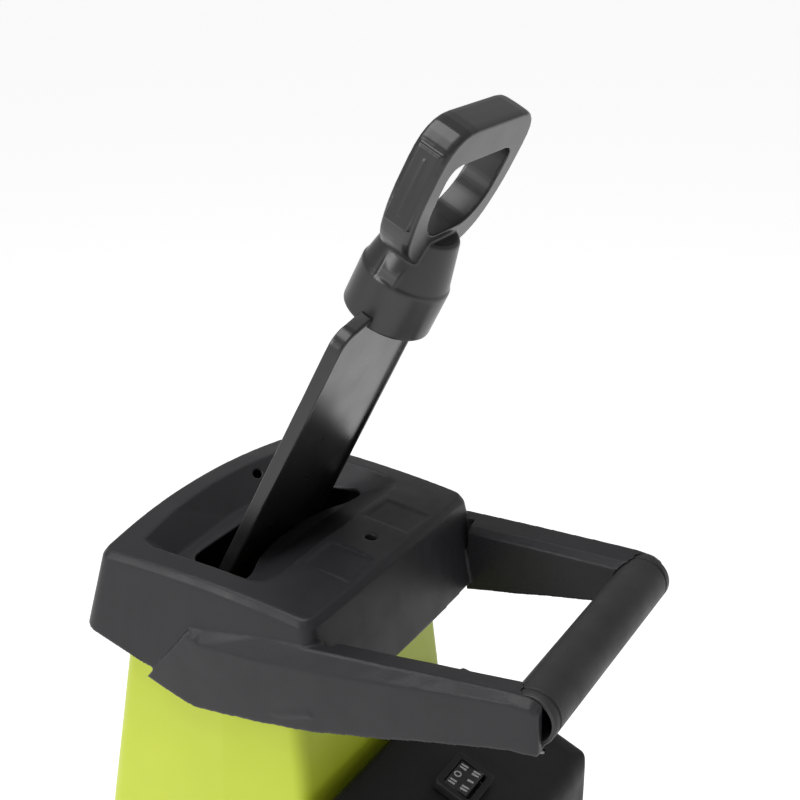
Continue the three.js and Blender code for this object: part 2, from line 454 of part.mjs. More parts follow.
// ================================================================ hopper: tower, cap, handle
const hopper = new THREE.Group();
frameGroup.add(hopper);
const towerKeys = [ // z, front y, rear y, half width at the front corners, at the crease, at the rear corners
  [DECK_Z + GAP, -237, -8.5, 116, 122, 119], [700, -226, -8.5, 113, 118, 115.5], [810, -212, -9, 107, 112.5, 110.5], [884, -200, -14, 102.5, 108.5, 107], [930, -193, -19, 99.5, 107, 105], [TOWER_TOP_Z, -187, -23, 97, 106, 104], [1000, -184, -25, 95.5, 105, 103],
];
function towerRing(k, d) {
  const [, f, r, xf, xc, xr] = k;
  const pts = [];
  const corner = (cx, cy, rad, a0, a1, n) => { for (let i = 0; i <= n; i++) { const a = a0 + (a1 - a0) * i / n; pts.push(V2(cx + rad * Math.cos(a), cy + rad * Math.sin(a))); } };
  const R = 15 - d, Rr = 11 - Math.min(d, 6);
  corner(xr - d - Rr, r - d - Rr, Rr, 0, Math.PI / 2, 3);
  corner(-(xr - d - Rr), r - d - Rr, Rr, Math.PI / 2, Math.PI, 3);
  pts.push(V2(-(xc - d), -87));
  corner(-(xf - d - R), f + d + R, R, Math.PI, 1.5 * Math.PI, 3);
  pts.push(V2(0, f + d - 5));
  corner(xf - d - R, f + d + R, R, 1.5 * Math.PI, 2 * Math.PI, 3);
  pts.push(V2(xc - d, -87));
  return pts;
}
{
  let t = solid(loft(towerKeys.map((k) => ({ z: k[0], pts: towerRing(k, 0) }))));
  const inner = towerKeys.map((k) => ({ z: k[0], pts: towerRing(k, WALL) }));
  inner[0].z -= 5; inner[inner.length - 1].z += 5;
  t = t.subtract(solid(loft(inner)));
  // hinge lugs beside the base lugs
  for (const s of [1, -1]) {
    const lug = slabX([[-238.5, 562], [-244, 556.5], [-252, 556.5], [-256, 561], [-256, 568], [-250, 574], [-233, 612], [-231, 612]], 57.5, 69.4);
    t = t.add(solid(s > 0 ? lug : flipX(lug)));
  }
  t = t.subtract(solid(cylX(4 + GAP, -75, 75, HINGE_Y, HINGE_Z, 20)));
  // threaded boss for the clamp knob
  t = t.add(solid(cylX(9, 112, 126.4, KNOB_Y, KNOB_Z, 20))).subtract(solid(cylX(4.3, 105, 130, KNOB_Y, KNOB_Z, 16)));
  // keep the inside of the chute clear of the lugs
  add('hopper_tower', geometry(t), M.green, hopper);
}
// cap outline at a level: half widths at front and rear, front y with bow, rear y
const SIDE_Y = [-40, -120, -150];
function capRing(xf, xr, f, bow, r, R, n = 2) {
  const pts = [];
  const corner = (cx, cy, rad, a0, a1) => { for (let i = 0; i <= n; i++) { const a = a0 + (a1 - a0) * i / n; pts.push(V2(cx + rad * Math.cos(a), cy + rad * Math.sin(a))); } };
  corner(xr - R, r - R, R, 0, Math.PI / 2);
  for (const u of [0.5, 0, -0.5]) pts.push(V2(u * xr, r + 4 * (1 - u * u)));
  corner(-(xr - R), r - R, R, Math.PI / 2, Math.PI);
  for (const y of SIDE_Y) pts.push(V2(-(xr + (xf - xr) * (y / -185)), y));
  corner(-(xf - R), f + R, R, Math.PI, 1.5 * Math.PI);
  for (const u of [-0.6, -0.3, 0, 0.3, 0.6]) pts.push(V2(u * xf, f - bow * (1 - u * u)));
  corner(xf - R, f + R, R, 1.5 * Math.PI, 2 * Math.PI);
  for (const y of SIDE_Y.slice().reverse()) pts.push(V2(xr + (xf - xr) * (y / -185), y));
  return pts;
}
const crown = (x) => 6.2 * Math.max(0, 1 - (x / RIM_HALF_W) ** 2);
function capTopZ(y) { return RIM_Z + RIM_RISE * Math.min(1, Math.max(0, -y / RIM_DEPTH)) + 4.3 * Math.max(0, 1 - ((y + 90) / 90) ** 2) * 0.9; }
{
  const tilt = (pts, fn) => pts.map((p) => { const q = V3(p.x, p.y, 0); q.z = fn(p.y, p.x); return q; });
  const bottomZ = (y) => y > 0 ? RIM_Z - 68 : THREE.MathUtils.lerp(RIM_Z - 76, RIM_Z - 52, THREE.MathUtils.clamp((-y - 120) / 80, 0, 1));
  const shell = (d, dz) => loft([
    { z: 0, pts: tilt(capRing(129 - d, 126 - d, -199 + d, RIM_BOW, 15 - d, 12 - Math.min(d, 4)), (y) => bottomZ(y) - dz) },
    { z: 0, pts: tilt(capRing(121.5 - d, 119 - d, -183.5 + d, RIM_BOW, 1.5 - d, 9 - Math.min(d, 4)), (y, x) => capTopZ(y) + crown(x) * (y > -100 ? 0.7 : 1) - 5 - (dz > 0 ? 1 : 0)) },
    { z: 0, pts: tilt(capRing(118 - d, 115.5 - d, -180 + d, RIM_BOW, -2 - d, 8 - Math.min(d, 4)), (y, x) => capTopZ(y) + crown(x) * (y > -100 ? 0.7 : 1) - (dz > 0 ? 3 : 0)) },
  ]);
  const top = (x, y) => capTopZ(y) + crown(x);
  const bowl = (d) => {
    const p = [], F = RIM_Z - 5 - d;
    for (const s of [1, -1]) {
      p.push([s * (84 + d * 0.5), -82 + d * 0.5, F], [s * (89 + d * 0.6), -122, F], [s * (80 + d * 0.5), -145 - d * 0.5, F]);
      p.push([s * (85 + d), -48 + d, top(85, -48) - d * 0.3], [s * (99 + d), -62, top(99, -62)], [s * (100 + d), -112, top(100, -112)], [s * (98 + d), -162 - d, top(98, -162)]);
      p.push([s * (88 + d), -47 + d, RIM_Z + 40], [s * (102 + d), -60, RIM_Z + 40], [s * (102 + d), -164 - d, RIM_Z + 40]);
    }
    p.push([0, -170 - d, top(0, -170)], [0, -172 - d, RIM_Z + 40], [0, -151 - d * 0.5, F], [0, -47 + d, top(0, -47) - d * 0.3]);
    return hull(p);
  };
  const plate = hull([-1, -24, -52].flatMap((y) => [-1, -0.5, 0, 0.5, 1].flatMap((u) => { const x = u * (y < -1 ? 112 : 108); return [[x, y + (y === -1 ? 3 * (1 - u * u) : 0), top(x, y) - (y === -1 ? 1 : 0)], [x, y, RIM_Z - 5]]; })));
  let cap = solid(shell(0, 0)).add(solid(plate));
  const cavity = solid(shell(3, 2)).subtract(solid(bowl(3)));
  cap = cap.subtract(cavity).subtract(solid(bowl(0)));
  // inner flange that closes the gap round the top of the tower
  const flange = solid(loft([0, 3].map((e) => ({ z: 0, pts: tilt(capRing(128, 125, -198, RIM_BOW, 14, 11), (y) => bottomZ(y) + e) }))));
  cap = cap.add(flange.subtract(solid(loft([[940, towerKeys[4]], [1020, towerKeys[6]]].map(([z, k]) => ({ z, pts: towerRing(k, -0.8) }))))));
  // feed slot
  const sl = [];
  const half = [[0, -136], [66, -136], [74, -130], [81, -119], [86, -106], [88, -95], [87, -86], [82, -80.5], [74, -80.5], [62, -85], [48, -91], [28, -95.5], [0, -97]];
  for (const [x, y] of half) sl.push(V2(x, y));
  for (const [x, y] of half.slice(1, -1).reverse()) sl.push(V2(-x, y));
  cap = cap.subtract(solid(new THREE.ExtrudeGeometry(new THREE.Shape(sl), { depth: 75, bevelEnabled: false }).translate(0, 0, RIM_Z - 60)));
  // screw post under the rear plate
  const post = solid(cyl(7, RIM_Z - 36, RIM_Z + 5, 0, -21, 20));
  cap = cap.add(post).subtract(solid(cyl(4.4, RIM_Z - 8, RIM_Z + 25, 0, -21, 18))).subtract(solid(cyl(2.4, RIM_Z - 40, RIM_Z - 7, 0, -21, 12)));
  // transport handle arms, open underneath
  const armKeys = [ // y at the top, y at the bottom, outer x top ridge, outer x side, z top ridge, z side ridge, z bottom
    [-100, -139, 121.5, 128.5, -28, -31, -80], [-88, -96, 121.6, 128.2, -24, -37, -93], [-40, -42, 121.6, 126.8, -19, -35.5, -87.5], [5, 5, 121, 125, -15.7, -31, -81], [60, 60, 117.5, 122, -12.5, -24.5, -69], [110, 110, 113.5, 119, -9.7, -17.5, -57], [150, 150, 110, 116.8, -7.6, -12.4, -48.5], [170, 171, 108, 115.5, -12, -16, -47.5],
  ];
  // drop inner face towards the middle
  const armRing = (k, d, s) => {
    const [yt, yb, xt, xs, zt, zs, zb] = k;
    const w = 24;
    const mid = (yt + yb) / 2;
    const P = [[xs - d, yb, zb - (d > 0 ? 4 : 0)], [xs - d, yt, zs], [xt - d * 0.6, yt, zt - d], [xt - w * 0.75 + d, yt, zt - 2.5 - d], [xt - w + d, yt, zt - 8], [xt - w + d, yb, zb + 4 - (d > 0 ? 8 : 0)]];
    return P.map(([x, y, z]) => V3(s * x, y, RIM_Z + z));
  };
  const armLoft = (d, s, lo, hi) => {
    const ks = armKeys.slice(lo, hi).map((k) => k.slice());
    if (d > 0) { ks[0][0] += 3; ks[0][1] += 3; ks[ks.length - 1][0] -= 3; ks[ks.length - 1][1] -= 3; }
    const ref = [V2(1, 0), V2(1, 1), V2(0.6, 1.4), V2(-0.4, 1.4), V2(-1, 1), V2(-1, 0)];
    const pts = ks.map((k) => armRing(k, d, 1));
    // the reference outline is moved onto each ring
    const ex = new THREE.ExtrudeGeometry(new THREE.Shape(ref), { depth: pts.length - 1, steps: pts.length - 1, bevelEnabled: false });
    const p = ex.attributes.position;
    for (let i = 0; i < p.count; i++) {
      const l = Math.round(p.getZ(i));
      let best = 0, bd = 1e9;
      ref.forEach((q, k) => { const dd = (q.x - p.getX(i)) ** 2 + (q.y - p.getY(i)) ** 2; if (dd < bd) { bd = dd; best = k; } });
      const q = pts[l][best];
      p.setXYZ(i, q.x, q.y, q.z);
    }
    const g2 = geometry(solid(ex));
    return s > 0 ? g2 : flipX(g2);
  };
  const inside = solid(shell(3, 30)); // never fill the inside of the cap
  for (const s of [1, -1]) {
    const arm = solid(armLoft(0, s, 0, 8)).subtract(inside.add(solid(box(-110, 110, -190, 12, RIM_Z - 140, RIM_Z + 20)))).subtract(solid(bowl(0)));
    cap = cap.add(arm);
  }
  for (const s of [1, -1]) cap = cap.subtract(solid(armLoft(2.8, s, 3, 7)).intersect(solid(box(-200, 200, 17.5, 200, 0, 2000))));
  // seat for the bar
  cap = cap.subtract(solid(cylX(BAR_R + GAP, -108, 108, BAR_Y, BAR_Z, 36)));
  add('hopper_cap', geometry(cap), M.charcoal, hopper);
}
add('handle_bar', cut(cylX(BAR_R, -107.5, 107.5, BAR_Y, BAR_Z, 32), cylX(BAR_R - 3, -120, 120, BAR_Y, BAR_Z, 24)), M.charcoal, hopper);
{
  const g = join(cyl(4, RIM_Z - 7.6, RIM_Z - 4.5, 0, -21, 14), cyl(2, RIM_Z - 46, RIM_Z - 7, 0, -21, 10));
  add('cap_screw', g, M.zinc, hopper);
}

add('interlock_switch', join(box(84, 104, -22, 0, 536, 554.5), cyl(2, 554, 559.8, 94, -10.2, 10)), M.grey);

// ================================================================ clamp knob
{
  const k = new THREE.Group();
  k.position.set(0, KNOB_Y, KNOB_Z);
  hopper.add(k);
  let g = solid(cylX(16, 136.5, 152, 0, 0, 24)).add(solid(cylX(12, 132, 137, 0, 0, 24)));
  for (let i = 0; i < 5; i++) { const a = i / 5 * 2 * Math.PI; g = g.add(solid(cylX(6, 136.5, 152, 14.5 * Math.cos(a), 14.5 * Math.sin(a), 8))); }
  g = g.subtract(solid(cylX(4.3, 120, 146, 0, 0, 16)));
  add('clamp_knob', geometry(g), M.black, k);
  add('clamp_stud', cylX(4, 106, 145.7, 0, 0, 16), M.zinc, k);
}

// ================================================================ plunger, leaning in the slot
{
  const p = new THREE.Group();
  p.position.copy(PLUNGE_O);
  p.rotation.set(-PLUNGE_TILT, 0, 0);
  p.scale.setScalar(0.966);
  frameGroup.add(p);
  // local axes: X across, Z along the plunger, Y through its thickness
  const W0 = 70, W1 = 64, TOE = -165;
  const outline = [V2(-W0 + 10, TOE), V2(W0 - 10, TOE), V2(W0 - 3, TOE + 3), V2(W0, TOE + 10), V2(W1, 212), V2(W1 - 5, 228), V2(W1 - 17, 237), V2(20, 241), V2(-20, 241), V2(-(W1 - 17), 237), V2(-(W1 - 5), 228), V2(-W1, 212), V2(-W0, TOE + 10), V2(-(W0 - 3), TOE + 3)];
  const ext = (pts, t, y) => { const g = new THREE.ExtrudeGeometry(new THREE.Shape(pts), { depth: t, bevelEnabled: false }); g.applyMatrix4(new THREE.Matrix4().set(1, 0, 0, 0, 0, 0, -1, y + t, 0, 1, 0, 0, 0, 0, 0, 1)); return g; };
  const inset = outline.map((q) => V2(q.x * (W0 - 8) / W0, (q.y - 38) * 0.96 + 38));
  let blade = solid(ext(outline, 11, -5.5));
  blade = blade.subtract(solid(ext(inset, 10, 2))).subtract(solid(ext(inset, 10, -12)));
  blade = blade.subtract(solid(cyl(COLLAR_R - 5 + GAP, COLLAR_AT + 6, COLLAR_AT + 40, 0, 0, 32))).subtract(solid(ringZ(COLLAR_R + GAP, COLLAR_R - 5 - GAP, COLLAR_AT - GAP, COLLAR_AT + 60, 0, 0, 32)));
  add('plunger_paddle', geometry(blade), M.gloss, p);
  // handle: skirted collar, cone, neck and D grip
  const prof = [[0, COLLAR_AT + 30], [COLLAR_R - 5, COLLAR_AT + 30], [COLLAR_R - 5, COLLAR_AT], [COLLAR_R, COLLAR_AT], [COLLAR_R, COLLAR_AT + COLLAR_H], [24, COLLAR_AT + COLLAR_H + 38], [0, COLLAR_AT + COLLAR_H + 38]];
  let h = solid(lathe(prof, 32).rotateX(Math.PI / 2));
  // D: closed loop outline, thick in Y
  const Z0 = COLLAR_AT + COLLAR_H + 18, Z1 = 398, HW = 64;
  const outD = [V2(-22, Z0), V2(22, Z0), V2(46, Z0 + 14), V2(58, Z0 + 32), V2(HW, Z0 + 54), V2(HW, Z1 - 20), V2(HW - 6, Z1 - 6), V2(HW - 18, Z1), V2(-(HW - 18), Z1), V2(-(HW - 6), Z1 - 6), V2(-HW, Z1 - 20), V2(-HW, Z0 + 54), V2(-58, Z0 + 32), V2(-46, Z0 + 14)];
  const inD = [V2(-18, Z0 + 26), V2(18, Z0 + 26), V2(36, Z0 + 36), V2(44, Z0 + 54), V2(46, Z1 - 40), V2(40, Z1 - 28), V2(-40, Z1 - 28), V2(-46, Z1 - 40), V2(-44, Z0 + 54), V2(-36, Z0 + 36)];
  const sh = new THREE.Shape(outD); sh.holes.push(new THREE.Path(inD.slice().reverse()));
  const dg = new THREE.ExtrudeGeometry(sh, { depth: 16, bevelEnabled: true, bevelThickness: 5, bevelSize: 4, bevelOffset: -4, bevelSegments: 1 });
  dg.applyMatrix4(new THREE.Matrix4().set(1, 0, 0, 0, 0, 0, -1, 8, 0, 1, 0, 0, 0, 0, 0, 1));
  h = h.add(solid(dg));
  add('plunger_handle', geometry(h), M.gloss, p);
}

export default group;
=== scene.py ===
# Looks of the electric garden wood chipper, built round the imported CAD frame. Metres, +Z up.
import bpy
import bmesh
import json
import math
from mathutils import Matrix, Vector


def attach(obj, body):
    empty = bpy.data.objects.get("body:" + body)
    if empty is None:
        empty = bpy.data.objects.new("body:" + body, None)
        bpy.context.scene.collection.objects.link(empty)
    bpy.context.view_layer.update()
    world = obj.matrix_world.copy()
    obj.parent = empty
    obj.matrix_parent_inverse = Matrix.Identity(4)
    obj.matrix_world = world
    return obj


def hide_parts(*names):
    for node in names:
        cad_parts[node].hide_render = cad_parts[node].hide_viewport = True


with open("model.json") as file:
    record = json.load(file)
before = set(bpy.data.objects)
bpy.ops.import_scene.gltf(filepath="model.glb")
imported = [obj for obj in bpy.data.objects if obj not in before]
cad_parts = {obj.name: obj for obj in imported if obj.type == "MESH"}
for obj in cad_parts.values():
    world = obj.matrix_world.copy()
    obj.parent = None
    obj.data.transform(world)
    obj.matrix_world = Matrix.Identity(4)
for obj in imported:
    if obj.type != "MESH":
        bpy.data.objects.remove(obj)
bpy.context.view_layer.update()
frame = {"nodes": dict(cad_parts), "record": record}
MM = 0.001
SY = 55.5
RIM = 1045.0
scene = bpy.context.scene
NODES = frame["nodes"]


# ---------------------------------------------------------------- mesh helpers (mm, y measured from the rim's rear edge)
def link(me, name):
    ob = bpy.data.objects.new(name, me)
    scene.collection.objects.link(ob)
    return ob


def mesh(name, verts, faces, mat=None):
    me = bpy.data.meshes.new(name)
    me.from_pydata([tuple(v) for v in verts], [], [tuple(f) for f in faces])
    bm = bmesh.new(); bm.from_mesh(me)
    bmesh.ops.remove_doubles(bm, verts=bm.verts, dist=1e-5)
    bmesh.ops.recalc_face_normals(bm, faces=bm.faces)
    bm.to_mesh(me); bm.free()
    return link(me, name)


def loft(rings, name="loft", caps=True, closed=False):
    n = len(rings[0]); V = [p for r in rings for p in r]; F = []
    m = len(rings)
    for l in range(m if closed else m - 1):
        k = (l + 1) % m
        for i in range(n):
            j = (i + 1) % n
            F.append((l * n + i, l * n + j, k * n + j, k * n + i))
    if caps and not closed:
        F.append(tuple(reversed(range(n)))); F.append(tuple((m - 1) * n + i for i in range(n)))
    return mesh(name, V, F)


def hull(points, name="hull"):
    bm = bmesh.new()
    for p in points:
        bm.verts.new(p)
    r = bmesh.ops.convex_hull(bm, input=bm.verts)
    bmesh.ops.delete(bm, geom=[v for v in bm.verts if not v.link_faces], context="VERTS")
    bmesh.ops.recalc_face_normals(bm, faces=bm.faces)
    me = bpy.data.meshes.new(name); bm.to_mesh(me); bm.free()
    return link(me, name)


def box(x0, x1, y0, y1, z0, z1):
    return hull([(x, y, z) for x in (x0, x1) for y in (y0, y1) for z in (z0, z1)], "box")


def prism(pts, z0, z1):
    return loft([[(x, y, z0) for x, y in pts], [(x, y, z1) for x, y in pts]], "prism")


def slab_x(pts, x0, x1):
    return loft([[(x0, y, z) for y, z in pts], [(x1, y, z) for y, z in pts]], "slab")


def circle(r, n=48, cx=0, cy=0):
    return [(cx + r * math.cos(2 * math.pi * i / n), cy + r * math.sin(2 * math.pi * i / n)) for i in range(n)]


def turned(profile, n=96, closed=True):
    """profile [(radius, along)] turned round Z"""
    rings = []
    for i in range(n):
        a = 2 * math.pi * i / n
        rings.append([(r * math.cos(a), r * math.sin(a), z) for r, z in profile])
    return loft(rings, "turned", caps=False, closed=True)


def along_x(ob, y, z, s=1, x=0.0):
    move(ob, Matrix.Translation((x, y, z)) @ Matrix.Rotation(s * math.pi / 2, 4, "Y"))
    return ob


def move(ob, m):
    ob.data.transform(m)
    if m.determinant() < 0:
        ob.data.flip_normals()
    ob.data.update()
    return ob


def mirror_x(ob, name=None):
    c = link(ob.data.copy(), name or ob.name + "_m")
    return move(c, Matrix.Scale(-1, 4, (1, 0, 0)))


def applied(ob, kind, **kw):
    m = ob.modifiers.new("m", kind)
    for k, v in kw.items():
        setattr(m, k, v)
    dg = bpy.context.evaluated_depsgraph_get(); dg.update()
    me = bpy.data.meshes.new_from_object(ob.evaluated_get(dg))
    ob.modifiers.clear()
    old = ob.data; ob.data = me
    bpy.data.meshes.remove(old)
    return ob


def boolean(a, b, op="DIFFERENCE", keep=False):
    applied(a, "BOOLEAN", operation=op, object=b, solver="MANIFOLD")
    if not keep:
        bpy.data.objects.remove(b)
    return a


def cut(a, *tools):
    for t in tools:
        boolean(a, t)
    return a


def join(a, *parts):
    for t in parts:
        boolean(a, t, "UNION")
    return a


def smooth_flags(ob, angle=None):
    for p in ob.data.polygons:
        p.use_smooth = True
    if angle is not None:
        ob.data.set_sharp_from_angle(angle=math.radians(angle))
    return ob


def soften(ob, voxel=1.2, rounds=6, factor=0.5, thin=0.0):
    """rounds every edge and inner corner of a moulding"""
    applied(ob, "REMESH", mode="VOXEL", voxel_size=voxel, adaptivity=0.0)
    applied(ob, "SMOOTH", factor=factor, iterations=rounds)
    if thin:
        applied(ob, "DECIMATE", ratio=thin)
    return smooth_flags(ob)


def bevelled(ob, width=0.8, seg=2, angle=30, flat=35):
    applied(ob, "BEVEL", width=width, segments=seg, limit_method="ANGLE", angle_limit=math.radians(angle), miter_outer="MITER_ARC", use_clamp_overlap=True)
    return smooth_flags(ob, flat)


def done(ob, name, body, mat, nodes, shift=True):
    """from mm to metres in the row's frame, then onto its body"""
    ob.data.transform(Matrix.Scale(MM, 4) @ Matrix.Translation((0, SY if shift else 0, 0)))
    ob.data.update()
    ob.name = name; ob.data.name = name
    ob.data.materials.clear(); ob.data.materials.append(mat)
    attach(ob, body)
    if nodes:
        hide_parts(*nodes)
    return ob


# ---------------------------------------------------------------- materials
def material(name, color, rough, metal=0.0, grain=0.0, grain_scale=900.0, vary=0.12, edge_highlight=None, highlight_at=(0.52, 0.62), coat=0.0, spec=0.5, rough_vary=0.08, streak=0.0):
    m = bpy.data.materials.new(name); m.use_nodes = True
    nt = m.node_tree; N = nt.nodes; L = nt.links
    b = N["Principled BSDF"]
    b.inputs["Metallic"].default_value = metal
    b.inputs["Specular IOR Level"].default_value = spec
    if coat:
        b.inputs["Coat Weight"].default_value = coat
        b.inputs["Coat Roughness"].default_value = 0.18
    tc = N.new("ShaderNodeTexCoord")
    big = N.new("ShaderNodeTexNoise"); big.inputs["Scale"].default_value = 9.0; big.inputs["Detail"].default_value = 5.0
    L.new(tc.outputs["Object"], big.inputs["Vector"])
    ramp = N.new("ShaderNodeValToRGB")
    c = color
    lo = tuple(x * (1 - vary) for x in c) + (1,); hi = tuple(min(1, x * (1 + vary)) for x in c) + (1,)
    ramp.color_ramp.elements[0].position = 0.35; ramp.color_ramp.elements[0].color = lo
    ramp.color_ramp.elements[1].position = 0.65; ramp.color_ramp.elements[1].color = hi
    L.new(big.outputs["Fac"], ramp.inputs["Fac"])
    out = ramp.outputs["Color"]
    fine = N.new("ShaderNodeTexNoise"); fine.inputs["Scale"].default_value = grain_scale; fine.inputs["Detail"].default_value = 3.0
    if streak:
        mp = N.new("ShaderNodeMapping"); mp.inputs["Scale"].default_value = (streak, 1.0, 1.0)
        L.new(tc.outputs["Object"], mp.inputs["Vector"]); L.new(mp.outputs["Vector"], fine.inputs["Vector"])
    else:
        L.new(tc.outputs["Object"], fine.inputs["Vector"])
    # painted highlight: sharp convex edges (high pointiness) get a lighter colour, broken up by noise, standing in for
    # the bright edge highlights
    if edge_highlight is not None:
        geo = N.new("ShaderNodeNewGeometry")
        highlight_ramp = N.new("ShaderNodeValToRGB")
        highlight_ramp.color_ramp.elements[0].position = highlight_at[0]; highlight_ramp.color_ramp.elements[0].color = (0, 0, 0, 1)
        highlight_ramp.color_ramp.elements[1].position = highlight_at[1]; highlight_ramp.color_ramp.elements[1].color = (1, 1, 1, 1)
        L.new(geo.outputs["Pointiness"], highlight_ramp.inputs["Fac"])
        highlight_noise = N.new("ShaderNodeTexNoise"); highlight_noise.inputs["Scale"].default_value = 60.0; highlight_noise.inputs["Detail"].default_value = 4.0
        L.new(tc.outputs["Object"], highlight_noise.inputs["Vector"])
        highlight_mask = N.new("ShaderNodeMath"); highlight_mask.operation = "MULTIPLY"
        L.new(highlight_ramp.outputs["Color"], highlight_mask.inputs[0]); L.new(highlight_noise.outputs["Fac"], highlight_mask.inputs[1])
        highlight_mix = N.new("ShaderNodeMix"); highlight_mix.data_type = "RGBA"
        L.new(highlight_mask.outputs[0], highlight_mix.inputs[0]); L.new(out, highlight_mix.inputs[6]); highlight_mix.inputs[7].default_value = tuple(edge_highlight) + (1,)
        out = highlight_mix.outputs[2]
    L.new(out, b.inputs["Base Color"])
    rr = N.new("ShaderNodeMapRange")
    rr.inputs["From Min"].default_value = 0.3; rr.inputs["From Max"].default_value = 0.7
    rr.inputs["To Min"].default_value = max(0.02, rough - rough_vary); rr.inputs["To Max"].default_value = min(1, rough + rough_vary)
    mid = N.new("ShaderNodeTexNoise"); mid.inputs["Scale"].default_value = 38.0; mid.inputs["Detail"].default_value = 6.0
    L.new(tc.outputs["Object"], mid.inputs["Vector"])
    L.new(mid.outputs["Fac"], rr.inputs["Value"]); L.new(rr.outputs["Result"], b.inputs["Roughness"])
    if grain:
        bump = N.new("ShaderNodeBump"); bump.inputs["Strength"].default_value = grain; bump.inputs["Distance"].default_value = 0.0004
        L.new(fine.outputs["Fac"], bump.inputs["Height"]); L.new(bump.outputs["Normal"], b.inputs["Normal"])
    return m


# the charcoal, grip, black, satin black and tyre finishes carry the painted edge highlight
M = {
    "charcoal": material("moulded_charcoal", (0.0175, 0.0165, 0.0185), 0.42, grain=0.35, grain_scale=1100, vary=0.08, edge_highlight=(0.085, 0.085, 0.09), highlight_at=(0.51, 0.58), spec=0.26),
    "grip": material("bar_grip", (0.015, 0.0145, 0.016), 0.48, grain=0.6, grain_scale=1500, vary=0.1, edge_highlight=(0.07, 0.07, 0.07), spec=0.28),
    "black": material("matt_black", (0.009, 0.009, 0.010), 0.52, grain=0.4, grain_scale=1000, vary=0.1, edge_highlight=(0.06, 0.06, 0.065), spec=0.24),
    "green": material("lime_green", (0.43, 0.51, 0.020), 0.42, grain=0.12, grain_scale=1200, vary=0.03, coat=0.0, spec=0.45, rough_vary=0.05),
    "gloss_black": material("satin_black", (0.0095, 0.0095, 0.0105), 0.30, grain=0.03, grain_scale=700, vary=0.1, edge_highlight=(0.06, 0.06, 0.065), highlight_at=(0.53, 0.66), spec=0.55, rough_vary=0.03),
    "tube": material("powder_coat", (0.016, 0.016, 0.017), 0.36, metal=0.0, grain=0.5, grain_scale=700, vary=0.1, coat=0.3),
    "steel": material("machined_steel", (0.50, 0.51, 0.52), 0.3, metal=1.0, grain=0.12, grain_scale=400, streak=12, vary=0.06),
    "blade": material("ground_steel", (0.66, 0.67, 0.68), 0.2, metal=1.0, grain=0.14, grain_scale=500, streak=20, vary=0.05),
    "zinc": material("zinc_plate", (0.58, 0.59, 0.57), 0.32, metal=1.0, grain=0.08, grain_scale=300, vary=0.1),
    "rubber": material("black_rubber", (0.014, 0.014, 0.014), 0.75, grain=0.5, grain_scale=600, vary=0.12),
    "tyre": material("tyre_rubber", (0.017, 0.017, 0.0175), 0.72, grain=0.6, grain_scale=500, vary=0.15, edge_highlight=(0.07, 0.068, 0.065)),
    "copper": material("brass_copper", (0.62, 0.34, 0.16), 0.35, metal=1.0, grain=0.1, vary=0.1),
    "lamination": material("laminated_steel", (0.18, 0.18, 0.19), 0.45, metal=0.7, grain=0.5, grain_scale=250, streak=0.2, vary=0.12),
    "red": material("red_button", (0.46, 0.02, 0.015), 0.35, grain=0.05, vary=0.05),
    "grey": material("grey_plastic", (0.17, 0.17, 0.18), 0.5, grain=0.3, vary=0.06),
    "mark": material("pale_marking", (0.30, 0.30, 0.31), 0.5, grain=0.2, vary=0.05),
}
SLOTS = {s["node"]: s["material_slot"] for s in frame["record"]["subparts"]}
for node, ob in NODES.items():
    ob.data.materials.clear()
    ob.data.materials.append(M[SLOTS.get(node, "black")])


# ---------------------------------------------------------------- hopper cap
def cap_ring(xf, xr, f, r, R, n=7, bow=6.5):
    pts = []

    def corner(cx, cy, a0, a1):
        for i in range(n + 1):
            a = a0 + (a1 - a0) * i / n
            pts.append((cx + R * math.cos(a), cy + R * math.sin(a)))
    h = math.pi / 2
    corner(xr - R, r - R, 0, h)
    for i in range(1, 12):
        u = 0.86 - i / 12 * 1.72
        pts.append((u * xr, r + 4 * (1 - (u / 0.9) ** 2)))
    corner(-(xr - R), r - R, h, 2 * h)
    side = [-20, -40, -60, -80, -100, -120, -135, -150, -165]
    pts += [(-(xr + (xf - xr) * (y / -185)), y) for y in side]
    corner(-(xf - R), f + R, 2 * h, 3 * h)
    for i in range(1, 16):
        u = -0.88 + i / 16 * 1.76
        pts.append((u * xf, f - bow * (1 - (u / 0.9) ** 2)))
    corner(xf - R, f + R, 3 * h, 4 * h)
    pts += [(xr + (xf - xr) * (y / -185), y) for y in reversed(side)]
    return pts


def crown(x):
    return 6.2 * max(0.0, 1 - (x / 117.5) ** 2)


def rim_z(y):
    return RIM + 11.8 * min(1, max(0, -y / 181.5)) + 3.9 * max(0, 1 - ((y + 90) / 90) ** 2)


def top_z(x, y):
    return rim_z(y) + crown(x) * (0.75 if y > -3 else 1.0)


def bottom_z(y):
    if y > 0:
        return RIM - 68
    t = min(1, max(0, (-y - 120) / 80))
    return RIM - 76 + 24 * t


def shell(d, dz):
    lv = []
    lv.append([(x, y, bottom_z(y) - dz) for x, y in cap_ring(129 - d, 126 - d, -199 + d, 15 - d, 13 - min(d, 4))])
    lv.append([(x, y, top_z(x, y) - 5 - (1 if dz else 0)) for x, y in cap_ring(121.5 - d, 119 - d, -183.5 + d, 1.5 - d, 10 - min(d, 4))])
    top = cap_ring(118 - d, 115.5 - d, -180 + d, -2 - d, 8.5 - min(d, 4))
    lv.append([(x, y, top_z(x, y) - (3 if dz else 0)) for x, y in top])
    # the crowned top closes in rings towards the middle
    for k in (0.86, 0.7, 0.5, 0.3, 0.12):
        cy = -92
        lv.append([(x * k, cy + (y - cy) * k, top_z(x * k, cy + (y - cy) * k) - (3 if dz else 0)) for x, y in top])
    return loft(lv, "shell")


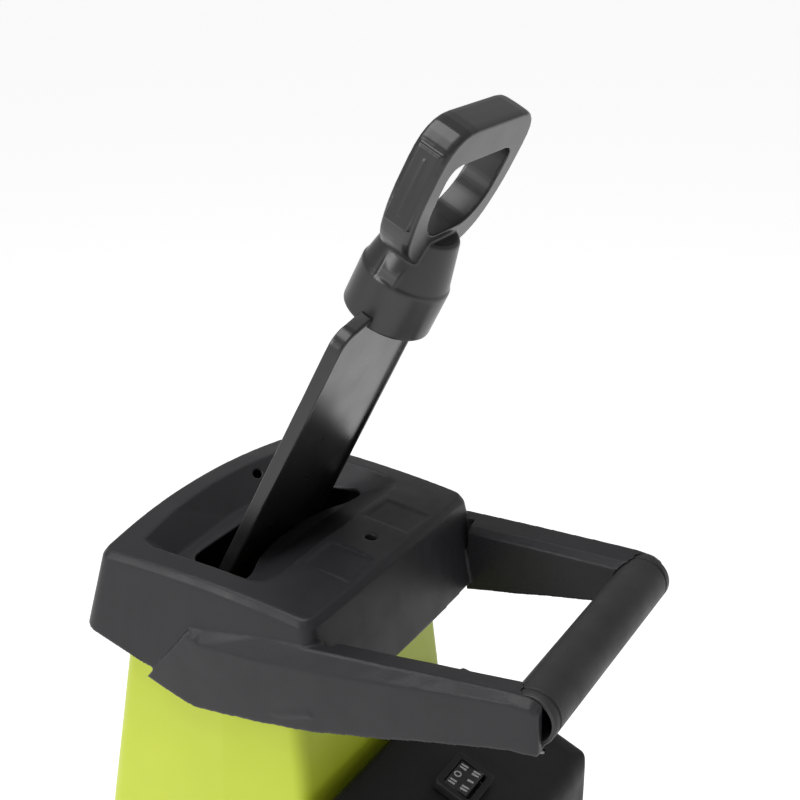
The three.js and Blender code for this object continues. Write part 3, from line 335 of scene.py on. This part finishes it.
def bowl(d):
    P = []; F = RIM - 5 - d
    for s in (1, -1):
        P += [(s * (84 + d * 0.5), -82 + d * 0.5, F), (s * (88.5 + d * 0.6), -100, F), (s * (89 + d * 0.6), -122, F), (s * (86 + d * .5), -136, F), (s * (80 + d * 0.5), -145 - d * 0.5, F)]
        P += [(s * (85 + d), -48 + d, top_z(85, -48) - d * 0.3), (s * (94 + d), -52 + d * .6, top_z(94, -52)), (s * (99 + d), -62, top_z(99, -62)), (s * (100 + d), -112, top_z(100, -112)), (s * (100 + d), -148, top_z(100, -148)), (s * (95 + d), -161 - d, top_z(95, -161))]
        P += [(s * (50 + d), -167.5 - d, top_z(50, -167.5)), (s * (50 + d), -169 - d, RIM + 40)]
        P += [(s * (88 + d), -47 + d, RIM + 40), (s * (102 + d), -60, RIM + 40), (s * (102 + d), -150 - d, RIM + 40), (s * (96 + d), -163 - d, RIM + 40)]
    P += [(0, -170 - d, top_z(0, -170)), (0, -172 - d, RIM + 40), (0, -151 - d * 0.5, F), (0, -47 + d, top_z(0, -47) - d * 0.3)]
    return hull(P, "bowl")


ARM = [(-100, -139, 121.5, 128.5, -28, -31, -80), (-94, -117, 121.6, 128.4, -26, -34, -87), (-88, -96, 121.6, 128.2, -24, -37, -93), (-40, -42, 121.6, 126.8, -19, -35.5, -87.5), (5, 5, 121, 125, -15.7, -31, -81), (33, 33, 119.2, 123.4, -14, -27.8, -74.5),
       (60, 60, 117.5, 122, -12.5, -24.5, -69), (85, 85, 115.4, 120.3, -11, -21, -62.5), (110, 110, 113.5, 119, -9.7, -17.5, -57), (132, 132, 111.7, 117.8, -8.5, -14.6, -52), (150, 150, 110, 116.8, -7.6, -12.4, -48.5), (163, 163, 109, 116.1, -8.5, -12.8, -47.5), (170, 171, 108, 115.5, -12, -16, -47.5)]


def arm(d, lo=0, hi=None):
    rings = []
    ks = [list(k) for k in ARM[lo:hi]]
    if d:
        for q, e in ((0, 3), (-1, -3)):
            ks[q][0] += e; ks[q][1] += e
    for yt, yb, xt, xs, zt, zs, zb in ks:
        w = 24
        P = [(xs - d, yb, zb - (4 if d else 0)), (xs - d, yt, zs), (xt - d * 0.6, yt, zt - d), (xt - w * 0.75 + d, yt, zt - 2.5 - d), (xt - w + d, yt, zt - 8), (xt - w + d, yb, zb + 4 - (8 if d else 0))]
        rings.append([(x, y, RIM + z) for x, y, z in P])
    return loft(rings, "arm")


def build_cap():
    cap = shell(0, 0)
    cavity = shell(3, 2); boolean(cavity, bowl(3))
    cut(cap, cavity, bowl(0))
    half = [(0, -136), (30, -136), (60, -136), (66, -135.4), (70, -133.6), (74, -130), (78, -125), (81, -119), (84, -112.5), (86, -106), (87.4, -100), (88, -95), (88.2, -90), (87, -86), (85, -82.5), (82, -80.5), (78, -79.8), (74, -80.5), (62, -85), (48, -91), (28, -95.5), (0, -97)]
    cut(cap, prism(half + [(-x, y) for x, y in reversed(half[1:-1])], RIM - 60, RIM + 15))
    # shallow panels on the rear plate and the screw well between them
    for s in (1, -1):
        P = []
        for x in (24, 60):
            for y in (-41, -3):
                P += [(s * x, y, top_z(x, y) - 1.3), (s * x, y, RIM + 30)]
        cut(cap, hull(P))
    join(cap, prism(circle(7, 32, 0, -21), RIM - 36, RIM + 5))
    cut(cap, prism(circle(4.4, 32, 0, -21), RIM - 8, RIM + 25), prism(circle(2.4, 24, 0, -21), RIM - 40, RIM - 7))
    # a small screw well high on the front wall of the bowl, on the -X side
    w = prism([(x * 1.5, y) for x, y in circle(3.4, 24)], -16, 8)
    move(w, Matrix.Translation((-50, -160.5, RIM + 9)) @ Matrix.Rotation(math.radians(-25), 4, "X"))
    cut(cap, w)
    flange = loft([[(x, y, bottom_z(y) + e) for x, y in cap_ring(128, 125, -198, 14, 12)] for e in (0, 3)])
    cut(flange, loft([tower_ring(940, -0.8), tower_ring(1000, -0.8)][:0] + [[(x, y, z0) for x, y, _ in tower_ring(z1, -0.8)] for z0, z1 in ((935, 940), (1020, 1000))]))
    join(cap, flange)
    inside = shell(3, 30)
    keepout = box(-110, 110, -190, 12, RIM - 140, RIM + 20)
    for s in (1, -1):
        a = arm(0)
        if s < 0:
            b = mirror_x(a); bpy.data.objects.remove(a); a = b
        boolean(a, inside, keep=True); boolean(a, keepout, keep=True); boolean(a, bowl(0))
        join(cap, a)
    bpy.data.objects.remove(inside); bpy.data.objects.remove(keepout)
    for s in (1, -1):
        a = arm(2.8, 5, 12)
        if s < 0:
            b = mirror_x(a); bpy.data.objects.remove(a); a = b
        boolean(a, box(-200, 200, 17.5, 200, 0, 2000), "INTERSECT")
        cut(cap, a)
    seat = prism(circle(19.3, 64), -108, 108); along_x(seat, 160.4, 1018)
    cut(cap, seat)
    return soften(cap, 0.95, 12, 0.5, thin=0.4)


# ---------------------------------------------------------------- plunger, built upright in its own axes: X across, Y thickness, Z along
PLUNGE = Matrix.Translation((0, -106.6, RIM - 5.6)) @ Matrix.Rotation(-0.4742, 4, "X") @ Matrix.Scale(0.966, 4)


def flat_prism(pts, y0, y1):
    return loft([[(x, y0, z) for x, z in pts], [(x, y1, z) for x, z in pts]], "flat")


def paddle_outline(inset=0.0, toe=-165):
    W0, W1 = 70 - inset, 64 - inset
    P = [(W0 - 10, toe + inset), (W0 - 3, toe + 3 + inset), (W0, toe + 10 + inset)]
    P += [(W0 + (W1 - W0) * t, (toe + 10) + (206 - toe - 10) * t) for t in (0.25, 0.5, 0.75)]
    for i in range(9):
        a = i / 8 * math.pi / 2 * 0.92
        P.append((W1 - 15 + 15 * math.cos(a), 214 + (16 - inset) * math.sin(a)))
    P += [(34, 236.5 - inset), (20, 241 - inset)]
    return P + [(-x, z) for x, z in reversed(P)]


def build_paddle():
    p = flat_prism(paddle_outline(), -5.5, 5.5)
    for s in (1, -1):
        cut(p, flat_prism(paddle_outline(4.6), *((3.2, 12) if s > 0 else (-12, -3.2))))
    cut(p, prism(circle(29.3, 64), 233, 270))
    cut(p, boolean_ring(34.3, 28.7, 226.7, 290))
    return move(soften(p, 0.8, 6, 0.5, thin=0.4), PLUNGE)


def boolean_ring(ro, ri, z0, z1):
    r = prism(circle(ro, 64), z0, z1)
    return cut(r, prism(circle(ri, 64), z0 - 1, z1 + 1))


def build_handle():
    prof = [(28.9, 257), (28.9, 227.4), (30, 227), (33.2, 227), (34, 227.8), (34, 263.5), (33.6, 264.8), (32.6, 266.2), (24.8, 301), (23.6, 302.6), (21.5, 303), (0.01, 303), (0.01, 257)]
    h = turned(prof, 96)
    Z0, Z1, HW = 283, 397, 64

    def rounded(pts, r, n=6):
        out = []
        m = len(pts)
        for i in range(m):
            p0, p, p1 = Vector(pts[i - 1]), Vector(pts[i]), Vector(pts[(i + 1) % m])
            a = (p0 - p); b = (p1 - p)
            k = min(r[i], a.length * 0.48, b.length * 0.48)
            A = p + a.normalized() * k; B = p + b.normalized() * k
            for j in range(n + 1):
                t = j / n
                out.append(tuple(A * (1 - t) ** 2 + p * 2 * t * (1 - t) + B * t * t))
        return out
    outer = rounded([(-22, Z0), (22, Z0), (52, Z0 + 16), (HW, Z0 + 50), (HW, Z1), (-HW, Z1), (-HW, Z0 + 50), (-52, Z0 + 16)], [12, 12, 22, 26, 30, 30, 26, 22])
    inner = rounded([(-26, Z0 + 26), (26, Z0 + 26), (44, Z0 + 44), (46, Z1 - 28), (-46, Z1 - 28), (-44, Z0 + 44)], [14, 14, 16, 14, 14, 16])
    # the grip swells to an oval at its thick edges
    d = hull_two(outer, Z1)
    cut(d, flat_prism(inner, -30, 30))
    join(h, d)
    join(h, flat_prism([(-33.4, 262), (33.4, 262), (31.5, 272), (27, 284), (29, 297), (-29, 297), (-27, 284), (-31.5, 272)], -8.5, 8.5))
    for s in (1, -1):
        # raised pad with a moulding line on each outer side of the D
        join(h, box(*sorted((s * 61, s * 64.7)), -9.2, 9.2, 322, 380))
        join(h, box(*sorted((s * 61, s * 65.3)), -0.4, 0.4, 330, 372))
    return move(soften(h, 0.8, 5, 0.5, thin=0.4), PLUNGE)


def hull_two(outer, Z1):
    rings = []
    for y, k in ((-12.8, 2.2), (-11.6, 0.9), (-8.5, 0.2), (0, 0.0), (8.5, 0.2), (11.6, 0.9), (12.8, 2.2)):
        cz = 345
        rings.append([(x * (1 - k / 64), y, cz + (z - cz) * (1 - k / 56)) for x, z in outer])
    return loft(rings, "dgrip")


# ---------------------------------------------------------------- tower
TOWER = [(560.3, -237, -8.5, 116, 122, 119), (700, -226, -8.5, 113, 118, 115.5), (810, -212, -9, 107, 112.5, 110.5), (884, -200, -14, 102.5, 108.5, 107), (930, -193, -19, 99.5, 107, 105), (968, -187, -23, 97, 106, 104), (1000, -184, -25, 95.5, 105, 103)]


def tower_ring(z, d):
    for a, b in zip(TOWER, TOWER[1:]):
        if z <= b[0] or b is TOWER[-1]:
            t = min(1, max(0, (z - a[0]) / (b[0] - a[0])))
            k = [p + (q - p) * t for p, q in zip(a, b)]
            break
    _, f, r, xf, xc, xr = k
    pts = []

    def corner(cx, cy, rad, a0, a1, n=8):
        for i in range(n + 1):
            a = a0 + (a1 - a0) * i / n
            pts.append((cx + rad * math.cos(a), cy + rad * math.sin(a), z))
    R = 15 - d; Rr = 11 - min(d, 6); h = math.pi / 2
    corner(xr - d - Rr, r - d - Rr, Rr, 0, h)
    corner(-(xr - d - Rr), r - d - Rr, Rr, h, 2 * h)
    for e in (-3, -1, 1, 3):
        pts.append((-(xc - d - 0.02 * e * e), -87 - e, z))
    corner(-(xf - d - R), f + d + R, R, 2 * h, 3 * h)
    for u in (-0.66, -0.33, 0, 0.33, 0.66):
        pts.append((u * (xf - R), f + d - 5 * (1 - u * u), z))
    corner(xf - d - R, f + d + R, R, 3 * h, 4 * h)
    for e in (3, 1, -1, -3):
        pts.append((xc - d - 0.02 * e * e, -87 - e, z))
    return pts


def build_tower():
    zs = [560.3, 561.3] + [580 + i * 22.5 for i in range(18)] + [999, 1000]
    t = loft([tower_ring(z, 0.8 if z in (560.3, 1000) else 0) for z in zs], "tower")
    cut(t, loft([tower_ring(z, 3.2) for z in [550] + zs[1:-1] + [1006]], "inner"))
    for s in (1, -1):
        a, b = sorted((s * 57.5, s * 69.4))
        join(t, slab_x([(-238.5, 562), (-244, 556.5), (-252, 556.5), (-256, 561), (-256, 568), (-250, 574), (-233, 612), (-231, 612)], a, b))
    cut(t, along_x(prism(circle(4.3, 48), -75, 75), -248, 564))
    join(t, along_x(prism(circle(9, 48), 112, 126.4), -70, 576))
    cut(t, along_x(prism(circle(4.3, 48), 105, 130), -70, 576))
    return bevelled(t, 0.7, 2, 40, 32)


# ---------------------------------------------------------------- motor housing and controls
P_Y0, P_Z0, P_Y1, P_Z1 = 1.0, RIM - 163, 104.0, RIM - 207
P_ANG = math.atan2(P_Z1 - P_Z0, P_Y1 - P_Y0)


def panel_z(y):
    return P_Z0 + (y - P_Y0) * (P_Z1 - P_Z0) / (P_Y1 - P_Y0)


def housing(d):
    prof = [(P_Y0 - 4 + d, 560.3 - (2 if d else 0)), (P_Y0 - 4 + d, P_Z0 - 3 - d), (P_Y0 + d, P_Z0 - d)]
    for i in range(9):
        a = math.pi / 2 + P_ANG - i / 8 * (math.pi / 2 + P_ANG)
        prof.append((98 + (22 - d) * math.cos(a), panel_z(98 - 22 * math.sin(P_ANG)) - 22 * math.cos(P_ANG) + (22 - d) * math.sin(a)))
    prof.append((120.5 - d, 560.3 - (2 if d else 0)))
    pts = []
    clamp = lambda v, a, b: min(b, max(a, v))
    for y, z in prof:
        for s in (1, -1):
            pts.append((s * (106 - d), y, z))
    for x, k in ((112.5, 1.6), (118, 4), (122.5, 8), (125, 13)):
        for y, z in prof:
            yy = clamp(y, P_Y0 - 4 + k + d, 120.5 - k - d)
            zz = min(z, panel_z(clamp(yy, P_Y0, 110)) - k * 0.8 - d) if z > 700 else z
            for s in (1, -1):
                pts.append((s * (x - d), yy, zz))
    return hull(pts, "housing")


def on_panel(ob, x=0.0):
    return move(ob, Matrix.Translation((x, 60, panel_z(60))) @ Matrix.Rotation(P_ANG, 4, "X"))


def build_housing():
    h = housing(0)
    cut(h, housing(3.2))
    cut(h, on_panel(box(-17.5, 17.5, -13.5, 13.5, -15, 15)), on_panel(prism(circle(7.3, 40), -15, 15), 62))
    for s in (1, -1):
        for i in range(5):
            a, b = sorted((s * 110, s * 135))
            cut(h, box(a, b, 24, 96, 600 + i * 12, 605 + i * 12))
    inlet = prism(circle(21, 56), -15, 15); move(inlet, Matrix.Translation((-72, 118, 772)) @ Matrix.Rotation(math.pi / 2, 4, "X"))
    cut(h, inlet)
    for x in (88, -88):
        cut(h, prism(circle(4.2, 32, x, 88), 700, 900))
    # a shallow field round the controls
    g = box(-40, 40, -30, 30, -0.7, 10)
    fld = on_panel(g)
    cut(h, fld)
    return soften(h, 1.4, 5, 0.5, thin=0.4)


def rounded_rect(hw, hh, r, n=6):
    pts = []
    for cx, cy, a0 in ((hw - r, hh - r, 0), (-(hw - r), hh - r, 90), (-(hw - r), -(hh - r), 180), (hw - r, -(hh - r), 270)):
        for i in range(n + 1):
            a = math.radians(a0 + 90 * i / n)
            pts.append((cx + r * math.cos(a), cy + r * math.sin(a)))
    return pts


def build_switch():
    f = prism(rounded_rect(21.5, 17.5, 4.5), 0.3, 8.3)
    cut(f, prism(rounded_rect(16, 12, 2), -6, 20))
    bevelled(f, 1.1, 3, 40, 40)
    on_panel(f)
    r = []
    for i in range(13):
        y = -10.2 + 20.4 * i / 12
        r.append((y, 7 + 1.4 * abs(y / 10.2)))
    rock = slab_x([(-9.5, -4), (9.5, -4)] + list(reversed(r)), -15.2, 15.2)
    bevelled(rock, 0.5, 2, 40, 40)
    tilt = Matrix.Rotation(0.14, 4, "X")
    move(rock, tilt); on_panel(rock)
    # moulded I and O
    i_bar = box(-0.8, 0.8, 3.0, 8.4, 7.2, 8.5)
    o = prism(circle(3.1, 40, 0, -5.9), 7.2, 8.3); cut(o, prism(circle(2.0, 32, 0, -5.9), 6, 9))
    marks = join(i_bar, o)
    ribs = None
    for x in (-11.5, -8.3, 8.3, 11.5):
        for y0, y1 in ((2.5, 8.6), (-8.6, -2.5)):
            b = box(x - 0.7, x + 0.7, y0, y1, 7.0, 8.45)
            marks = join(marks, b)
    bevelled(marks, 0.25, 2, 40, 40)
    move(marks, tilt); on_panel(marks)
    return f, rock, marks


# ---------------------------------------------------------------- wheels, tubes and the rest
def build_tyre(s):
    h = 19
    prof = [(57.9, -h + 3), (59.5, -h + 1.2), (62, -h), (66, -h + 0.3), (70, -h + 2), (73, -h + 5.5), (74.6, -12.5), (75, -9), (75, -7.2), (73.6, -6.6), (73.6, -5.2), (75, -4.6), (75, -0.9), (73.6, -0.5), (73.6, 0.5), (75, 0.9), (75, 4.6), (73.6, 5.2), (73.6, 6.6), (75, 7.2), (75, 9), (74.6, 12.5), (73, h - 5.5), (70, h - 2), (66, h - 0.3), (62, h), (59.5, h - 1.2), (57.9, h - 3)]
    t = turned(prof, 144)
    for i in range(36):
        a = 2 * math.pi * i / 36
        g = box(72.4, 80, -1.1, 1.1, 8.2, 17.5); move(g, Matrix.Rotation(a, 4, "Z")); cut(t, g)
        g = box(72.4, 80, -1.1, 1.1, -17.5, -8.2); move(g, Matrix.Rotation(a + math.pi / 36, 4, "Z")); cut(t, g)
    smooth_flags(t, 28)
    return along_x(t, 130, 75, s, s * 188)


def build_hub(s):
    h = 19
    prof = [(5.3, -h + 1), (14.4, -h + 1), (15, -h + 1.6), (16, -5.4), (17.5, -4), (49, -3), (51, -4.4), (53, -h + 4.8), (53.8, -h + 4), (57.6, -h + 4), (57.6, h - 4), (53.8, h - 4), (53, h - 4.8), (51, 4.4), (49, 3), (17.5, 4), (16, 5.4), (15, h - 0.6), (14.4, h), (5.3, h)]
    t = turned(prof, 96)
    for i in range(5):
        a = (i + 0.5) / 5 * 2 * math.pi
        cut(t, prism(circle(10, 40, 33 * math.cos(a), 33 * math.sin(a)), -8, 8))
    for i in range(5):
        a = i / 5 * 2 * math.pi
        b = box(16, 51, -1.6, 1.6, 2, 12); move(b, Matrix.Rotation(a, 4, "Z")); join(t, b)
    bevelled(t, 0.5, 2, 40, 35)
    return along_x(t, 130, 75, s, s * 188)


def refined(node, width=0.7, seg=2, angle=32, flat=34, dissolve=2.0):
    """the CAD node's own shape with its edges rounded"""
    src = NODES[node]
    ob = link(src.data.copy(), node + "_looks")
    ob.matrix_world = src.matrix_world.copy()
    bm = bmesh.new(); bm.from_mesh(ob.data)
    bmesh.ops.transform(bm, matrix=src.matrix_world, verts=bm.verts)
    bmesh.ops.remove_doubles(bm, verts=bm.verts, dist=2e-6)
    bmesh.ops.dissolve_limit(bm, angle_limit=math.radians(dissolve), verts=bm.verts, edges=bm.edges)
    bm.to_mesh(ob.data); bm.free()
    ob.matrix_world = Matrix.Identity(4)
    for a in list(ob.data.attributes):
        if a.name in ("custom_normal",):
            ob.data.attributes.remove(a)
    if width:
        applied(ob, "BEVEL", width=width * MM, segments=seg, limit_method="ANGLE", angle_limit=math.radians(angle), use_clamp_overlap=True)
    smooth_flags(ob, flat)
    return ob


def tube(points, bend, r, name, sides=32):
    """round tube along points with rounded bends"""
    path = [Vector(points[0])]
    for i in range(1, len(points) - 1):
        p = Vector(points[i]); a = p + (Vector(points[i - 1]) - p).normalized() * bend; b = p + (Vector(points[i + 1]) - p).normalized() * bend
        for j in range(13):
            t = j / 12
            path.append(a * (1 - t) ** 2 + p * 2 * t * (1 - t) + b * t * t)
    path.append(Vector(points[-1]))
    rings = []
    up = None
    for i, p in enumerate(path):
        d = (path[min(i + 1, len(path) - 1)] - path[max(i - 1, 0)]).normalized()
        if up is None:
            up = d.orthogonal().normalized()
        up = (up - d * up.dot(d)).normalized()
        side = d.cross(up)
        rings.append([tuple(p + (up * math.cos(2 * math.pi * k / sides) + side * math.sin(2 * math.pi * k / sides)) * r) for k in range(sides)])
    return smooth_flags(loft(rings, name), 40)


BODY = {}
for b, e in frame["record"]["behaviour"]["bodies"].items():
    for n in e:
        BODY[n] = b

done(build_cap(), "cap_moulding", "hopper", M["charcoal"], ["hopper_cap"])
lz = [884, 910, 935, 960, 985, 1003]
liner = loft([tower_ring(z, 3.5) for z in lz], "liner")
cut(liner, loft([tower_ring(z, 4.9) for z in [870] + lz[1:-1] + [1010]], "liner_in"))
done(smooth_flags(liner, 35), "feed_liner", "hopper", M["black"], [])
done(build_tower(), "tower_moulding", "hopper", M["green"], ["hopper_tower"])
bar = turned([(16, -107.3), (18.2, -107.3), (18.95, -106.2), (18.95, -101), (18.3, -100.4), (18.3, -98.6), (18.95, -98), (18.95, 98), (18.3, 98.6), (18.3, 100.4), (18.95, 101), (18.95, 106.2), (18.2, 107.3), (16, 107.3)], 96)
along_x(bar, 160.4, 1018)
smooth_flags(bar, 35)
done(bar, "bar_grip_tube", "hopper", M["grip"], ["handle_bar"])
done(build_paddle(), "paddle_moulding", "plunger", M["gloss_black"], ["plunger_paddle"])
done(build_handle(), "plunger_grip", "plunger", M["gloss_black"], ["plunger_handle"])
done(build_housing(), "motor_cover", "base", M["black"], ["motor_housing"])
f, rk, mk = build_switch()
done(f, "switch_bezel", "base", M["black"], ["switch_frame"])
done(rk, "rocker_key", "rocker", M["grip"], ["switch_rocker"])
done(mk, "rocker_marks", "rocker", M["mark"], [])
for side, s in (("right", 1), ("left", -1)):
    done(build_tyre(s), "tyre_rubber_" + side, "wheel_" + side, M["tyre"], ["tyre_" + side])
    done(build_hub(s), "wheel_" + side + "_hub", "wheel_" + side, M["black"], ["wheel_hub_" + side])
done(tube([(-95, -190, 474), (-165, -300, 20), (165, -300, 20), (95, -190, 474)], 52, 12.5, "front_tube"), "front_tube", "base", M["tube"], ["stand_front_frame"])
ROUGH = {"base_housing": 1.2, "base_cover": 1.0, "discharge_chute": 0.8, "foot_pad_right": 1.2, "foot_pad_left": 1.2, "axle_cap_right": 0.8, "axle_cap_left": 0.8,
         "clamp_knob": 1.0, "power_inlet": 0.5, "reset_button": 0.8, "hinge_pin_right": 0.5, "hinge_pin_left": 0.5, "cutting_disc": 0.4, "disc_nut": 0.5, "axle": 0.4,
         "stand_leg_right": 0.0, "stand_leg_left": 0.0, "cross_brace": 0.0, "side_brace_right": 0.0, "side_brace_left": 0.0, "clamp_stud": 0.3,
         "blade_1": 0.2, "blade_2": 0.2, "spindle": 0.3, "housing_screw_1": 0.3, "housing_screw_2": 0.3, "cap_screw": 0.3, "interlock_switch": 0.5, "switch_body": 0.3}
for node, w in ROUGH.items():
    ob = refined(node, w)
    ob.name = node + "_looks"
    ob.data.materials.clear(); ob.data.materials.append(M[SLOTS[node]])
    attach(ob, BODY[node]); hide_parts(node)

# ---------------------------------------------------------------- floor, light and camera
me = bpy.data.meshes.new("floor")
me.from_pydata([(-40, -40, 0), (40, -40, 0), (40, 40, 0), (-40, 40, 0)], [], [(0, 1, 2, 3)])
floor = link(me, "floor")
fm = bpy.data.materials.new("pale_floor"); fm.use_nodes = True
pb = fm.node_tree.nodes["Principled BSDF"]
pb.inputs["Base Color"].default_value = (0.93, 0.93, 0.93, 1); pb.inputs["Roughness"].default_value = 0.9; pb.inputs["Specular IOR Level"].default_value = 0.1
pb.inputs["Emission Color"].default_value = (1, 1, 1, 1); pb.inputs["Emission Strength"].default_value = 0.56
me.materials.append(fm)

world = bpy.data.worlds.new("studio"); scene.world = world; world.use_nodes = True
world.node_tree.nodes["Background"].inputs["Color"].default_value = (1, 1, 1, 1)
world.node_tree.nodes["Background"].inputs["Strength"].default_value = 0.42


def area(name, loc, target, size, power, color=(1, 1, 1)):
    li = bpy.data.lights.new(name, "AREA"); li.shape = "RECTANGLE"; li.size = size[0]; li.size_y = size[1]; li.energy = power; li.color = color
    ob = bpy.data.objects.new(name, li); scene.collection.objects.link(ob)
    d = Vector(target) - Vector(loc)
    ob.location = loc; ob.rotation_euler = d.to_track_quat("-Z", "Y").to_euler()
    return ob


area("key", (2.2, -1.3, 2.0), (0, 0, 0.95), (1.3, 1.3), 34)
area("top", (0.5, -0.1, 2.9), (0, 0, 1.0), (1.6, 1.6), 30)

cam_data = bpy.data.cameras.new("camera"); cam = bpy.data.objects.new("camera", cam_data); scene.collection.objects.link(cam)
cam_data.lens = 60.75; cam_data.sensor_width = 36; cam_data.clip_end = 100
Fw = Vector((-0.8057, -0.4596, -0.3738)).normalized(); Rt = Fw.cross(Vector((0, 0, 1))).normalized(); Up = Rt.cross(Fw)
cam.matrix_world = Matrix(((Rt.x, Up.x, -Fw.x, 0.77625), (Rt.y, Up.y, -Fw.y, 0.50276), (Rt.z, Up.z, -Fw.z, 1.53031), (0, 0, 0, 1)))
scene.camera = cam
scene.view_settings.view_transform = "Standard"
